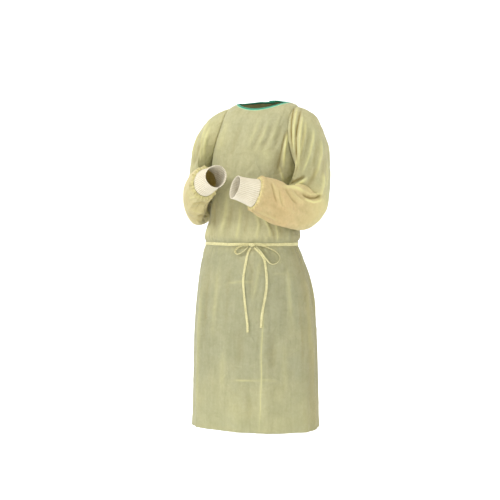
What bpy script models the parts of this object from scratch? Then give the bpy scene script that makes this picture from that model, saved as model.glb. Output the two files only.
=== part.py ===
"""Isolation gown in its worn shape: thin cloth walls round an empty inside.

Metres, +Z up. The front faces -Y and the wearer's left is +X. The origin is
the middle of the neck opening, where the shoulders carry the gown.
Angles round the body are in degrees from the middle of the front (0), to the
left side seam (90), to the middle of the back (180).
"""
import math
from collections import namedtuple

import bpy
from mathutils import Vector

# ---- driving dimensions -------------------------------------------------
HEM_HEIGHT = -1.080
UNDERARM_HEIGHT = -0.235
BELT_HEIGHT = -0.467
NECK_HALF_WIDTH = 0.087
NECK_HALF_DEPTH = 0.066
NECK_FRONT_DROP = 0.022
NECK_BACK_RISE = 0.010
CLOTH = 0.0012
SEAM_GAP = 0.0005
ARMHOLE_GAP_LOW = 0.0013
ARMHOLE_GAP_TOP = 0.0007
BODY_SQUARENESS = 2.2
OVERLAP_DEGREES = 14.0
OVERLAP_STEP = 0.0026
OVERLAP_FADE_DEGREES = 12.0
NECK_LEAN = Vector((0.62, 0.0, 0.78))
BINDING_WIDTH = 0.008
BINDING_CLOTH = 0.0012
BINDING_CLEARANCE = 0.0004
CUFF_RIBS = 24
CUFF_RIB_HEIGHT = 0.0009
CUFF_CLOTH = 0.0018
BELT_WIDTH = 0.010
BELT_CLOTH = 0.0014
BELT_STEP_DEGREES = 2.0
TAPE_HALF_WIDTH = 0.0046
LAY_GAP = 0.0003
KNOT_PLACE = 0.018
KNOT_HALF_WIDTH = 0.0095
KNOT_HALF_HEIGHT = 0.0075
KNOT_HALF_DEPTH = 0.0042
KNOT_LIFT = 0.0062
KNOT_DROP = 0.0005
KNOT_WAIST = 0.22

# ---- numbers of rows and columns -----------------------------------------
FRONT_COLUMNS = 28
BACK_COLUMNS = 13
OVERLAP_COLUMNS = 2
ARMHOLE_ROWS = 11
SHOULDER_ROWS = 2
SLEEVE_ROWS = 22
NUDGE = 0.0005
HIP_HEIGHT = -0.600
HEM_TO_HIP_ROWS = 9
HIP_TO_BELT_ROWS = 5
BELT_TO_UNDERARM_ROWS = 6

BODY_COLOUR = (0.60, 0.56, 0.33, 1.0)
SLEEVE_COLOUR = (0.72, 0.62, 0.34, 1.0)
CUFF_COLOUR = (0.86, 0.82, 0.68, 1.0)
BINDING_COLOUR = (0.04, 0.35, 0.17, 1.0)
BELT_COLOUR = (0.85, 0.79, 0.42, 1.0)

BodySection = namedtuple("BodySection", "height half_width half_depth shift_x shift_y")
BODY_SECTIONS = (
    BodySection(-1.080, 0.222, 0.155, -0.028, -0.012),
    BodySection(-0.900, 0.218, 0.153, -0.028, -0.012),
    BodySection(-0.785, 0.215, 0.150, -0.028, -0.014),
    BodySection(-0.684, 0.208, 0.146, -0.028, -0.016),
    BodySection(-0.624, 0.199, 0.141, -0.029, -0.018),
    BodySection(-0.564, 0.187, 0.134, -0.031, -0.021),
    BodySection(-0.510, 0.172, 0.122, -0.033, -0.023),
    BodySection(-0.467, 0.158, 0.112, -0.035, -0.024),
    BodySection(-0.440, 0.162, 0.121, -0.032, -0.022),
    BodySection(-0.380, 0.149, 0.126, -0.028, -0.020),
    BodySection(-0.300, 0.148, 0.129, -0.023, -0.015),
    BodySection(-0.235, 0.158, 0.128, -0.018, -0.011),
    BodySection(-0.100, 0.158, 0.128, -0.012, -0.005),
    BodySection(0.000, 0.158, 0.128, 0.000, 0.000),
)

# How a profile runs from the underarm ring to the neck: how far its lower
# handle climbs, and how far its upper handle stands out from the neck edge.
YokeHandle = namedtuple("YokeHandle", "climb stand_out lift")
YOKE_FRONT = YokeHandle(0.100, 0.034, -0.030)
YOKE_SIDE = YokeHandle(0.170, 0.052, -0.008)
YOKE_BACK = YokeHandle(0.130, 0.052, -0.012)

# The armhole in the yoke, as a share of the climb and degrees to each side.
ARMHOLE_TOP = 0.76
ARMHOLE_FRONT_DEGREES = 36.0
ARMHOLE_BACK_DEGREES = 34.0

# Soft folds of the body: ridges stand out, troughs have a negative height.
BodyFold = namedtuple("BodyFold", "angle width top bottom height lean")
BODY_FOLDS = (
    BodyFold(6, 10, -0.49, -1.08, 0.0045, -4),
    BodyFold(25, 7, -0.52, -1.08, 0.0050, 2),
    BodyFold(47, 11, -0.48, -1.08, -0.0050, 6),
    BodyFold(66, 10, -0.47, -1.08, 0.0060, 4),
    BodyFold(98, 13, -0.48, -1.08, -0.0055, 3),
    BodyFold(126, 14, -0.47, -1.08, 0.0070, 6),
    BodyFold(155, 12, -0.48, -1.08, -0.0050, 0),
    BodyFold(205, 14, -0.47, -1.08, 0.0065, -3),
    BodyFold(236, 13, -0.48, -1.08, -0.0050, -5),
    BodyFold(262, 13, -0.47, -1.08, 0.0065, -4),
    BodyFold(292, 12, -0.48, -1.08, -0.0050, -2),
    BodyFold(318, 12, -0.47, -1.08, 0.0055, 2),
    BodyFold(342, 10, -0.49, -1.08, -0.0045, 3),
    BodyFold(14, 9, -0.30, -0.47, 0.0040, 5),
    BodyFold(-18, 10, -0.28, -0.47, 0.0035, -6),
    BodyFold(44, 10, -0.26, -0.47, 0.0050, -8),
    BodyFold(-48, 10, -0.26, -0.47, 0.0045, 8),
    BodyFold(140, 12, -0.24, -0.47, 0.0055, 5),
    BodyFold(220, 12, -0.24, -0.47, 0.0050, -5),
)

# Stations of the left sleeve from the armhole to its gathered end, before
# the sway of the body: the line next to the body, the outer line, half the
# size across both, the way to the front, and how far the front leans in.
SleeveStation = namedtuple("SleeveStation", "inner outer half_across front lean")
SLEEVE_STATIONS = (
    SleeveStation((0.168, 0.000, -0.2380), (0.162, 0.000, -0.0200), 0.092, (0.0, -1.0, 0.0), 0.012),
    SleeveStation((0.167, 0.000, -0.2470), (0.199, 0.000, -0.0640), 0.091, (0.0, -1.0, 0.0), 0.035),
    SleeveStation((0.165, 0.000, -0.2570), (0.228, 0.000, -0.1280), 0.092, (0.0, -1.0, 0.0), 0.055),
    SleeveStation((0.163, 0.001, -0.2740), (0.241, 0.002, -0.2150), 0.092, (0.0, -1.0, -0.05), 0.068),
    SleeveStation((0.160, 0.004, -0.3080), (0.250, 0.006, -0.2900), 0.086, (0.0, -1.0, 0.15), 0.052),
    SleeveStation((0.161, -0.004, -0.3380), (0.250, 0.004, -0.3380), 0.077, (0.0, -0.8, 0.6), 0.018),
    SleeveStation((0.150, -0.064, -0.3460), (0.236, -0.056, -0.3480), 0.072, (0.0, -0.15, 1.0), 0.0),
    SleeveStation((0.118, -0.122, -0.3330), (0.202, -0.150, -0.3370), 0.068, (0.0, 0.0, 1.0), 0.0),
    SleeveStation((0.092, -0.154, -0.3140), (0.171, -0.198, -0.3190), 0.063, (0.1, 0.1, 1.0), 0.0),
    SleeveStation((0.074, -0.173, -0.3030), (0.140, -0.231, -0.3070), 0.0575, (0.2, 0.1, 1.0), 0.0),
    SleeveStation((0.066, -0.180, -0.3000), (0.131, -0.240, -0.3040), 0.0550, (0.2, 0.1, 1.0), 0.0),
    SleeveStation((0.0665, -0.187, -0.2985), (0.1225, -0.237, -0.3015), 0.0460, (0.2, 0.1, 1.0), 0.0),
)

# Soft folds of the sleeves: along is the share of the way from the armhole
# to the gathered end, and around is in degrees from the line next to the
# body (0), over the front (90), to the outer line (180).
SleeveFold = namedtuple("SleeveFold", "along length around width height slant")
LEFT_SLEEVE_FOLDS = (
    SleeveFold(0.12, 0.30, 92, 13, 0.0050, -60),
    SleeveFold(0.20, 0.34, 128, 16, -0.0045, -50),
    SleeveFold(0.30, 0.30, 160, 18, 0.0050, -40),
    SleeveFold(0.50, 0.055, 104, 60, -0.0060, 0),
    SleeveFold(0.56, 0.045, 120, 70, 0.0055, 0),
    SleeveFold(0.62, 0.055, 96, 60, -0.0050, 0),
    SleeveFold(0.34, 0.30, 245, 20, 0.0050, 30),
    SleeveFold(0.66, 0.06, 250, 50, 0.0045, 0),
    SleeveFold(0.80, 0.22, 60, 16, 0.0040, 20),
    SleeveFold(0.84, 0.22, 200, 18, 0.0040, -20),
    SleeveFold(0.82, 0.22, 300, 18, 0.0045, 10),
)
RIGHT_SLEEVE_FOLDS = (
    SleeveFold(0.14, 0.32, 88, 14, 0.0050, -45),
    SleeveFold(0.22, 0.30, 122, 16, -0.0040, -40),
    SleeveFold(0.32, 0.32, 168, 18, 0.0045, -30),
    SleeveFold(0.48, 0.055, 100, 60, -0.0060, 0),
    SleeveFold(0.54, 0.045, 112, 66, 0.0055, 0),
    SleeveFold(0.61, 0.055, 92, 56, -0.0050, 0),
    SleeveFold(0.32, 0.28, 235, 20, 0.0055, 25),
    SleeveFold(0.68, 0.06, 262, 50, 0.0045, 0),
    SleeveFold(0.79, 0.22, 52, 16, 0.0040, 15),
    SleeveFold(0.85, 0.22, 190, 18, 0.0045, -15),
    SleeveFold(0.81, 0.22, 310, 18, 0.0040, 12),
)
# The right forearm ends a little higher and further in than the left one.
WRIST_SHIFT = {1: Vector((0.0, 0.0, 0.0)), -1: Vector((0.012, 0.0, 0.034))}
WRIST_GATHERS = 12
WRIST_GATHER_HEIGHT = 0.0016
# Shares of the sleeve's way: where the gathers grow and end, and where the
# right wrist's shift starts and is full.
GATHER_START = 0.78
GATHER_FULL = 0.90
GATHER_FADE = 0.96
WRIST_SHIFT_START = 0.42
WRIST_SHIFT_FULL = 0.72

# The knitted cuff, from the sleeve end to its open end.
CuffRing = namedtuple("CuffRing", "along half_height half_width")
CUFF_DIRECTION = (-0.80, -0.53, 0.29)
CUFF_RINGS = (
    CuffRing(0.000, 0.0440, 0.0370),
    CuffRing(0.014, 0.0415, 0.0370),
    CuffRing(0.044, 0.0370, 0.0350),
    CuffRing(0.068, 0.0365, 0.0350),
)

# The bow lies on the front: sideways from the knot and down from the belt,
# its lift off the cloth, and how far the tape stands on edge (degrees).
TapePoint = namedtuple("TapePoint", "aside down lift turn")
LOOP_LEFT = (
    TapePoint(0.0120, 0.000, 0.0068, 74),
    TapePoint(0.030, 0.004, 0.0072, 72),
    TapePoint(0.052, 0.012, 0.0076, 68),
    TapePoint(0.072, 0.025, 0.0078, 66),
    TapePoint(0.083, 0.043, 0.0076, 66),
    TapePoint(0.077, 0.059, 0.0074, 66),
    TapePoint(0.062, 0.062, 0.0076, 68),
    TapePoint(0.050, 0.050, 0.0088, 70),
    TapePoint(0.038, 0.034, 0.0096, 72),
    TapePoint(0.024, 0.017, 0.0102, 74),
    TapePoint(0.0120, 0.006, 0.0080, 76),
)
LOOP_RIGHT = (
    TapePoint(-0.0120, 0.000, 0.0068, 74),
    TapePoint(-0.030, 0.003, 0.0072, 72),
    TapePoint(-0.046, 0.010, 0.0074, 68),
    TapePoint(-0.055, 0.021, 0.0074, 66),
    TapePoint(-0.048, 0.031, 0.0074, 66),
    TapePoint(-0.034, 0.027, 0.0076, 70),
    TapePoint(-0.021, 0.016, 0.0080, 74),
    TapePoint(-0.0120, 0.006, 0.0080, 76),
)
END_LEFT = (
    TapePoint(0.006, 0.0095, 0.0030, 0),
    TapePoint(0.024, 0.024, 0.0028, 0),
    TapePoint(0.040, 0.043, 0.0026, 0),
    TapePoint(0.047, 0.066, 0.0026, 8),
    TapePoint(0.053, 0.098, 0.0024, 0),
    TapePoint(0.055, 0.132, 0.0024, -10),
    TapePoint(0.052, 0.167, 0.0024, 0),
    TapePoint(0.047, 0.201, 0.0024, 10),
    TapePoint(0.043, 0.236, 0.0026, 0),
    TapePoint(0.041, 0.268, 0.0026, 0),
)
END_RIGHT = (
    TapePoint(-0.005, 0.0095, 0.0030, 0),
    TapePoint(-0.011, 0.025, 0.0028, 0),
    TapePoint(-0.015, 0.050, 0.0022, 8),
    TapePoint(-0.018, 0.083, 0.0016, 0),
    TapePoint(-0.020, 0.116, 0.0016, 0),
    TapePoint(-0.017, 0.150, 0.0016, -8),
    TapePoint(-0.012, 0.189, 0.0016, 0),
    TapePoint(-0.007, 0.226, 0.0016, 8),
    TapePoint(-0.003, 0.258, 0.0018, 0),
    TapePoint(-0.002, 0.284, 0.0020, 0),
)


# ---- small helpers --------------------------------------------------------
def mix(first, second, share):
    return first + (second - first) * share


def spread(first, last, count):
    """Count even steps from first, leaving out last."""
    return [mix(first, last, step / count) for step in range(count)]


def ease(share):
    share = min(1.0, max(0.0, share))
    return share * share * (3.0 - 2.0 * share)


def bump(distance, width):
    """A soft hill: 1 in its middle, 0 from width outwards."""
    reach = abs(distance) / width
    return 0.0 if reach >= 1.0 else (1.0 - reach * reach) ** 2


def turn_apart(first, second):
    """The shortest way between two angles in degrees."""
    return (first - second + 180.0) % 360.0 - 180.0


def smooth_value(before, start, end, after, share):
    """One number on a smooth curve through four evenly spaced ones."""
    square = share * share
    cube = square * share
    return 0.5 * (
        2.0 * start
        + (end - before) * share
        + (2.0 * before - 5.0 * start + 4.0 * end - after) * square
        + (3.0 * start - before - 3.0 * end + after) * cube
    )


def smooth_row(rows, place):
    """The values of a table of rows at a place between two of them."""
    last = len(rows) - 1
    place = min(max(place, 0.0), last - 1e-9)
    start = int(place)
    picked = [rows[min(max(start + step, 0), last)] for step in (-1, 0, 1, 2)]
    return [smooth_value(*values, place - start) for values in zip(*picked)]


def body_section(height):
    """Half width, half depth and shift of the body at a height."""
    below = BODY_SECTIONS[0]
    for index, above in enumerate(BODY_SECTIONS[1:]):
        if height <= above.height or above is BODY_SECTIONS[-1]:
            share = (height - below.height) / (above.height - below.height)
            return smooth_row(BODY_SECTIONS, index + min(max(share, 0.0), 1.0))
        below = above


def sway(height):
    """How far the body's middle lies from the origin at a height."""
    values = body_section(height)
    return Vector((values[3], values[4], 0.0))


def out_of(angle):
    turned = math.radians(angle)
    return Vector((math.sin(turned), -math.cos(turned), 0.0))


# ---- the surface of the body ----------------------------------------------
def fold_height(angle, height):
    total = 0.0
    for fold in BODY_FOLDS:
        span = fold.top - fold.bottom
        down = (fold.top - height) / span
        if -0.1 < down < 1.1:
            middle = fold.angle + fold.lean * down
            swell = ease(down * 3.0) * (1.0 if fold.bottom <= HEM_HEIGHT else ease((1.0 - down) * 3.0))
            total += fold.height * swell * bump(turn_apart(angle, middle), fold.width)
    return total


def overlap_lift(angle, layer):
    """Parts the two backs: layer is 1 for the outer one and -1 under it."""
    return layer * OVERLAP_STEP * (1.0 - ease((abs(turn_apart(angle, 180.0)) - OVERLAP_DEGREES) / OVERLAP_FADE_DEGREES))


def ring_point(angle, height, lift=0.0):
    """A point on the body below the underarm."""
    values = body_section(height)
    outward = out_of(angle)
    power = 2.0 / BODY_SQUARENESS
    grow = lift + fold_height(angle, height)
    side = math.copysign(abs(outward.x) ** power, outward.x) * values[1]
    fore = math.copysign(abs(outward.y) ** power, outward.y) * values[2]
    return Vector((values[3] + side, values[4] + fore, height)) + outward * grow


def neck_point(angle):
    outward = out_of(angle)
    fore = -outward.y
    drop = NECK_FRONT_DROP * max(fore, 0.0) ** 2 - NECK_BACK_RISE * max(-fore, 0.0) ** 2
    return Vector((outward.x * NECK_HALF_WIDTH, outward.y * NECK_HALF_DEPTH, -drop))


def yoke_handle(angle):
    outward = out_of(angle)
    end = YOKE_FRONT if outward.y < 0.0 else YOKE_BACK
    return [mix(side, middle, outward.y ** 2) for side, middle in zip(YOKE_SIDE, end)]


def body_point(angle, level, layer=0):
    """The body's surface: level -1 at the hem, 0 at the underarm, 1 at the neck."""
    lift = overlap_lift(angle, layer) if layer else 0.0
    if level <= 0.0:
        return ring_point(angle, mix(UNDERARM_HEIGHT, HEM_HEIGHT, -level), lift)
    climb, stand_out, rise = yoke_handle(angle)
    outward = out_of(angle)
    start = ring_point(angle, UNDERARM_HEIGHT, lift)
    slope = (start - ring_point(angle, UNDERARM_HEIGHT - NUDGE, lift)) / NUDGE
    end = neck_point(angle) + (outward * NECK_LEAN.x + Vector((0.0, 0.0, NECK_LEAN.z))) * lift
    low_handle = start + slope * climb
    high_handle = end + outward * stand_out + Vector((0.0, 0.0, rise))
    rest = 1.0 - level
    return (
        start * rest ** 3
        + low_handle * 3.0 * rest ** 2 * level
        + high_handle * 3.0 * rest * level ** 2
        + end * level ** 3
    )


def armhole_level(step):
    """The level of an armhole step: 0 at the underarm, ARMHOLE_ROWS at the top."""
    return ARMHOLE_TOP * 0.5 * (1.0 - math.cos(math.pi * step / ARMHOLE_ROWS))


def armhole_half_angle(step, degrees):
    return degrees * math.sin(math.pi * step / ARMHOLE_ROWS)


def level_of(height):
    return (height - UNDERARM_HEIGHT) / (UNDERARM_HEIGHT - HEM_HEIGHT)


def panel_levels():
    """Each row's level and its armhole step, hem to neck."""
    heights = spread(HEM_HEIGHT, HIP_HEIGHT, HEM_TO_HIP_ROWS)
    heights += spread(HIP_HEIGHT, BELT_HEIGHT - 0.5 * BELT_WIDTH, HIP_TO_BELT_ROWS)
    heights.append(BELT_HEIGHT - 0.5 * BELT_WIDTH)
    heights += spread(BELT_HEIGHT + 0.5 * BELT_WIDTH, UNDERARM_HEIGHT, BELT_TO_UNDERARM_ROWS)
    rows = [(level_of(height), 0) for height in heights]
    for step in range(ARMHOLE_ROWS + 1):
        rows.append((armhole_level(step), step))
    for row in range(1, SHOULDER_ROWS + 1):
        rows.append((mix(ARMHOLE_TOP, 1.0, row / SHOULDER_ROWS), ARMHOLE_ROWS))
    return rows


def seam_turn(level):
    """Half a seam's gap, as degrees round the body at a level."""
    reach = body_point(90.0, level) - body_point(91.0, level)
    return 0.5 * SEAM_GAP / max(reach.length, 1e-5)


# ---- making meshes ----------------------------------------------------------
def cloth_material(name, colour, roughness):
    material = bpy.data.materials.new(name)
    material.use_nodes = True
    shader = material.node_tree.nodes["Principled BSDF"]
    shader.inputs["Base Color"].default_value = colour
    shader.inputs["Roughness"].default_value = roughness
    shader.inputs["Metallic"].default_value = 0.0
    return material


def add_mesh(name, points, faces, material):
    mesh = bpy.data.meshes.new(name)
    mesh.from_pydata([tuple(point) for point in points], [], faces)
    mesh.materials.append(material)
    mesh.shade_smooth()
    mesh.set_sharp_from_angle(angle=math.radians(50.0))
    made = bpy.data.objects.new(name, mesh)
    GOWN.objects.link(made)
    return made


def grid_faces(rows, columns, closed):
    """Quads of a grid of points, row by row; closed joins its last column."""
    faces = []
    last = columns if closed else columns - 1
    for row in range(rows - 1):
        for column in range(last):
            beside = (column + 1) % columns
            faces.append((
                row * columns + column,
                row * columns + beside,
                (row + 1) * columns + beside,
                (row + 1) * columns + column,
            ))
    return faces


def add_cloth(name, grid, closed, material):
    """An open sheet through a grid of points, given the cloth's thickness."""
    points = [point for row in grid for point in row]
    made = add_mesh(name, points, grid_faces(len(grid), len(grid[0]), closed), material)
    wall = made.modifiers.new("cloth thickness", "SOLIDIFY")
    wall.thickness = CLOTH
    wall.offset = 0.0
    return made


def add_loft(name, rings, material):
    """A closed solid through rings of points, with flat ends."""
    count = len(rings[0])
    points = [point for ring in rings for point in ring]
    faces = grid_faces(len(rings), count, True)
    faces.append(tuple(range(count - 1, -1, -1)))
    faces.append(tuple(range((len(rings) - 1) * count, len(rings) * count)))
    return add_mesh(name, points, faces, material)


# ---- the pieces ---------------------------------------------------------------
def front_angles(level, step):
    half = 90.0 - armhole_half_angle(step, ARMHOLE_FRONT_DEGREES) - seam_turn(level)
    return spread(-half, half, FRONT_COLUMNS) + [half]


def back_angles(level, step):
    """The left back's columns, from its side seam past the centre back."""
    start = 90.0 + armhole_half_angle(step, ARMHOLE_BACK_DEGREES) + seam_turn(level)
    lap = OVERLAP_DEGREES * 0.5
    return spread(start, 180.0 - lap, BACK_COLUMNS) + spread(180.0 - lap, 180.0 + lap, OVERLAP_COLUMNS) + [180.0 + lap]


def make_front(material):
    grid = []
    for level, step in panel_levels():
        grid.append([body_point(angle, level) for angle in front_angles(level, step)])
    return add_cloth("front_panel", grid, False, material)


def make_back(name, side, layer, material):
    """One back panel; side 1 is the left one."""
    grid = []
    for level, step in panel_levels():
        row = [body_point(side * angle, level, layer) for angle in back_angles(level, step)]
        grid.append(row if side > 0 else row[::-1])
    return add_cloth(name, grid, False, material)


def armhole_loop(side):
    """Points round the armhole: underarm, up the front, over, down the back."""
    loop = []
    steps = list(range(ARMHOLE_ROWS + 1)) + list(range(ARMHOLE_ROWS - 1, 0, -1))
    for index, step in enumerate(steps):
        front = index <= ARMHOLE_ROWS
        degrees = ARMHOLE_FRONT_DEGREES if front else ARMHOLE_BACK_DEGREES
        turn = armhole_half_angle(step, degrees)
        angle = 90.0 - turn if front else 90.0 + turn
        loop.append(body_point(side * angle, armhole_level(step)))
    return loop


def sleeve_fold_height(folds, along, around):
    total = 0.0
    for fold in folds:
        reach = (along - fold.along) / fold.length
        if abs(reach) < 1.0:
            middle = fold.around + fold.slant * reach
            total += fold.height * bump(along - fold.along, fold.length) * bump(turn_apart(around, middle), fold.width)
    return total


def station_values():
    rows = []
    for station in SLEEVE_STATIONS:
        rows.append(station.inner + station.outer + (station.half_across,) + station.front + (station.lean,))
    return rows


def sleeve_point(side, folds, place, around):
    """A point of the sleeve at a place along its stations and degrees around."""
    values = smooth_row(station_values(), place)
    inner = Vector(values[0:3])
    outer = Vector(values[3:6])
    across = (outer - inner) * 0.5
    fore = Vector(values[7:10])
    fore = (fore - across * (fore.dot(across) / across.length_squared)).normalized()
    turned = math.radians(around)
    way = fore * math.sin(turned) - across.normalized() * math.cos(turned)
    point = (inner + outer) * 0.5 + fore * (math.sin(turned) * values[6]) - across * math.cos(turned)
    if turned < math.pi:
        point -= across.normalized() * (values[10] * math.sin(turned) ** 4)
    share = place / (len(SLEEVE_STATIONS) - 1)
    gather = ease((share - GATHER_START) / (GATHER_FULL - GATHER_START))
    gather *= 1.0 - ease((share - GATHER_FADE) / (1.0 - GATHER_FADE))
    ripple = WRIST_GATHER_HEIGHT * gather * math.cos(math.radians(around) * WRIST_GATHERS)
    point += way * (sleeve_fold_height(folds, share, around) + ripple)
    point.x *= side
    point += sway(point.z)
    return point + WRIST_SHIFT[side] * ease((share - WRIST_SHIFT_START) / (WRIST_SHIFT_FULL - WRIST_SHIFT_START))


def make_sleeve(name, side, folds, material):
    count = 2 * ARMHOLE_ROWS
    loop = armhole_loop(side)
    arounds = [180.0 * index / ARMHOLE_ROWS for index in range(count)]
    first = []
    for point, around in zip(loop, arounds):
        gap = mix(ARMHOLE_GAP_LOW, ARMHOLE_GAP_TOP, 0.5 - 0.5 * math.cos(math.radians(around)))
        first.append(point + Vector((side * gap, 0.0, 0.0)))
    grid = [first]
    last = len(SLEEVE_STATIONS) - 1
    for row in range(SLEEVE_ROWS + 1):
        place = last * row / SLEEVE_ROWS
        ring = [sleeve_point(side, folds, place, around) for around in arounds]
        if row == 0:
            ring = [mix(near, far, 0.5) for near, far in zip(first, ring)]
        grid.append(ring)
    rows = grid if side < 0 else [row[::-1] for row in grid]
    return add_cloth(name, rows, True, material)


def cuff_point(side, ring, turned, grow):
    """A point of the cuff, in planes that lie along the sleeve's end."""
    last = SLEEVE_STATIONS[-1]
    across = (Vector(last.outer) - Vector(last.inner)).normalized()
    fore = Vector(last.front)
    fore = (fore - across * fore.dot(across)).normalized()
    clear = across.cross(fore) * (0.5 * CLOTH + LAY_GAP)
    middle = (Vector(last.inner) + Vector(last.outer)) * 0.5 + clear
    middle += Vector(CUFF_DIRECTION).normalized() * ring.along
    point = middle + across * (math.cos(turned) * (ring.half_width + grow))
    point += fore * (math.sin(turned) * (ring.half_height + grow))
    point.x *= side
    return point + sway(point.z) + WRIST_SHIFT[side]


def make_cuff(name, side, material):
    """A ribbed knitted tube: ribs on its outer points over a plain inside."""
    count = CUFF_RIBS * 2
    turns = [2.0 * math.pi * index / count for index in range(count)]
    outer = []
    inner = []
    for ring in CUFF_RINGS:
        ribs = [CUFF_RIB_HEIGHT * (index % 2) for index in range(count)]
        outer.append([cuff_point(side, ring, turned, rib) for turned, rib in zip(turns, ribs)])
        inner.append([cuff_point(side, ring, turned, -CUFF_CLOTH) for turned in turns])
    rings = outer + inner[::-1]
    points = [point for row in rings for point in row]
    faces = grid_faces(len(rings), count, True)
    for column in range(count):
        beside = (column + 1) % count
        last = (len(rings) - 1) * count
        faces.append((last + column, last + beside, beside, column))
    if side < 0:
        faces = [face[::-1] for face in faces]
    return add_mesh(name, points, faces, material)


def top_edge():
    """The neck edge column by column: each one's angle and back layer."""
    level, step = panel_levels()[-1]
    backs = back_angles(level, step)
    columns = [(-angle, -1) for angle in backs[::-1]]
    columns += [(angle, 0) for angle in front_angles(level, step)[1:-1]]
    return columns + [(angle, 1) for angle in backs]


def binding_ring(place):
    """The folded strip's section over the neck edge, as a U of eight points."""
    columns = top_edge()
    below = panel_levels()[-2][0]
    angle, layer = columns[place]
    before, after = (columns[max(place - 1, 0)][0], columns[min(place + 1, len(columns) - 1)][0])
    edge = body_point(angle, 1.0, layer)
    upward = (edge - body_point(angle, below, layer)).normalized()
    ahead = body_point(after, 1.0, layer) - body_point(before, 1.0, layer)
    outward = ahead.cross(upward).normalized()
    near = 0.5 * CLOTH + BINDING_CLEARANCE
    far = near + BINDING_CLOTH
    corners = (
        (near, -BINDING_WIDTH), (near, near), (-near, near), (-near, -BINDING_WIDTH),
        (-far, -BINDING_WIDTH), (-far, far), (far, far), (far, -BINDING_WIDTH),
    )
    return [edge + outward * out + upward * up for out, up in corners]


def make_binding(material):
    """Starts at the under back's free edge and ends at the outer back's."""
    rings = [binding_ring(place) for place in range(len(top_edge()))]
    return add_loft("neck_binding", rings, material)


def belt_surface(angle, height, lift):
    """A point off the cloth's outer face; the left back is the outer one."""
    turned = turn_apart(angle, 0.0)
    lapped = turned > 90.0 or turned < OVERLAP_DEGREES * 0.5 + BELT_STEP_DEGREES - 180.0
    layer = 1 if lapped else (-1 if turned < -90.0 else 0)
    return body_point(angle, level_of(height), layer) + out_of(angle) * (0.5 * CLOTH + LAY_GAP + lift)


def make_belt(material):
    """The band round the waist: a thin closed strip made from the cloth's columns."""
    half = BELT_WIDTH * 0.5
    level = level_of(BELT_HEIGHT)
    backs = back_angles(level, 0)
    angles = front_angles(level, 0) + backs[1:] + [-angle for angle in backs[1:BACK_COLUMNS][::-1]]
    count = len(angles)
    section = ((0.0, -half), (BELT_CLOTH, -half), (BELT_CLOTH, half), (0.0, half))
    points = []
    for lift, rise in section:
        for angle in angles:
            points.append(belt_surface(angle, BELT_HEIGHT + rise, lift))
    faces = []
    for row in range(4):
        above = (row + 1) % 4
        for column in range(count):
            beside = (column + 1) % count
            faces.append((row * count + column, row * count + beside, above * count + beside, above * count + column))
    return add_mesh("belt_band", points, faces, material)


def tape_middle(point):
    """A tape point as a place in space, with the cloth's outward direction."""
    height = BELT_HEIGHT - point.down
    values = body_section(height)
    reach = (KNOT_PLACE + point.aside - values[3]) / values[1]
    angle = math.degrees(math.asin(math.copysign(abs(reach) ** (0.5 * BODY_SQUARENESS), reach)))
    return belt_surface(angle, height, point.lift), out_of(angle)


def make_tape(name, rows, steps, material):
    """A narrow tape through the points of its table."""
    places = [index / steps for index in range((len(rows) - 1) * steps + 1)]
    middles = []
    for place in places:
        middles.append(tape_middle(TapePoint(*smooth_row(rows, place))))
    rings = []
    last = len(places) - 1
    for index, place in enumerate(places):
        middle, outward = middles[index]
        ahead = (middles[min(index + 1, last)][0] - middles[max(index - 1, 0)][0]).normalized()
        outward = (outward - ahead * outward.dot(ahead)).normalized()
        turned = math.radians(smooth_row(rows, place)[3])
        beside = ahead.cross(outward)
        wide = (beside * math.cos(turned) + outward * math.sin(turned)) * TAPE_HALF_WIDTH
        thick = (outward * math.cos(turned) - beside * math.sin(turned)) * (BELT_CLOTH * 0.5)
        rings.append([middle - wide + thick, middle + wide + thick, middle + wide - thick, middle - wide - thick])
    return add_loft(name, rings, material)


def make_knot(material):
    """The small flat knot in front of the band."""
    middle, outward = tape_middle(TapePoint(0.0, KNOT_DROP, KNOT_LIFT, 0.0))
    bpy.ops.mesh.primitive_uv_sphere_add(segments=14, ring_count=8, radius=1.0)
    knot = bpy.context.active_object
    knot.name = "bow_knot"
    knot.data.name = "bow_knot"
    beside = outward.cross(Vector((0.0, 0.0, 1.0)))
    for vertex in knot.data.vertices:
        spot = vertex.co.copy()
        waist = 1.0 - KNOT_WAIST * (1.0 - spot.x * spot.x) * (1.0 - abs(spot.y))
        vertex.co = (
            middle
            + beside * (spot.x * KNOT_HALF_WIDTH)
            + Vector((0.0, 0.0, 1.0)) * (spot.z * KNOT_HALF_HEIGHT * waist)
            + outward * (spot.y * KNOT_HALF_DEPTH)
        )
    knot.data.materials.append(material)
    knot.data.shade_smooth()
    for owner in list(knot.users_collection):
        owner.objects.unlink(knot)
    GOWN.objects.link(knot)
    return knot


def build():
    body_cloth = cloth_material("pale yellow body cloth", BODY_COLOUR, 0.75)
    sleeve_cloth = cloth_material("pale yellow sleeve cloth", SLEEVE_COLOUR, 0.75)
    knit = cloth_material("ivory knit", CUFF_COLOUR, 0.9)
    green = cloth_material("green binding cloth", BINDING_COLOUR, 0.7)
    tape = cloth_material("yellow tape cloth", BELT_COLOUR, 0.7)
    make_front(body_cloth)
    make_back("back_panel_left", 1, 1, body_cloth)
    make_back("back_panel_right", -1, -1, body_cloth)
    make_sleeve("sleeve_left", 1, LEFT_SLEEVE_FOLDS, sleeve_cloth)
    make_sleeve("sleeve_right", -1, RIGHT_SLEEVE_FOLDS, sleeve_cloth)
    make_cuff("cuff_left", 1, knit)
    make_cuff("cuff_right", -1, knit)
    make_binding(green)
    make_belt(tape)
    make_knot(tape)
    make_tape("bow_loop_left", LOOP_LEFT, 2, tape)
    make_tape("bow_loop_right", LOOP_RIGHT, 2, tape)
    make_tape("belt_end_left", END_LEFT, 2, tape)
    make_tape("belt_end_right", END_RIGHT, 2, tape)


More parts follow.
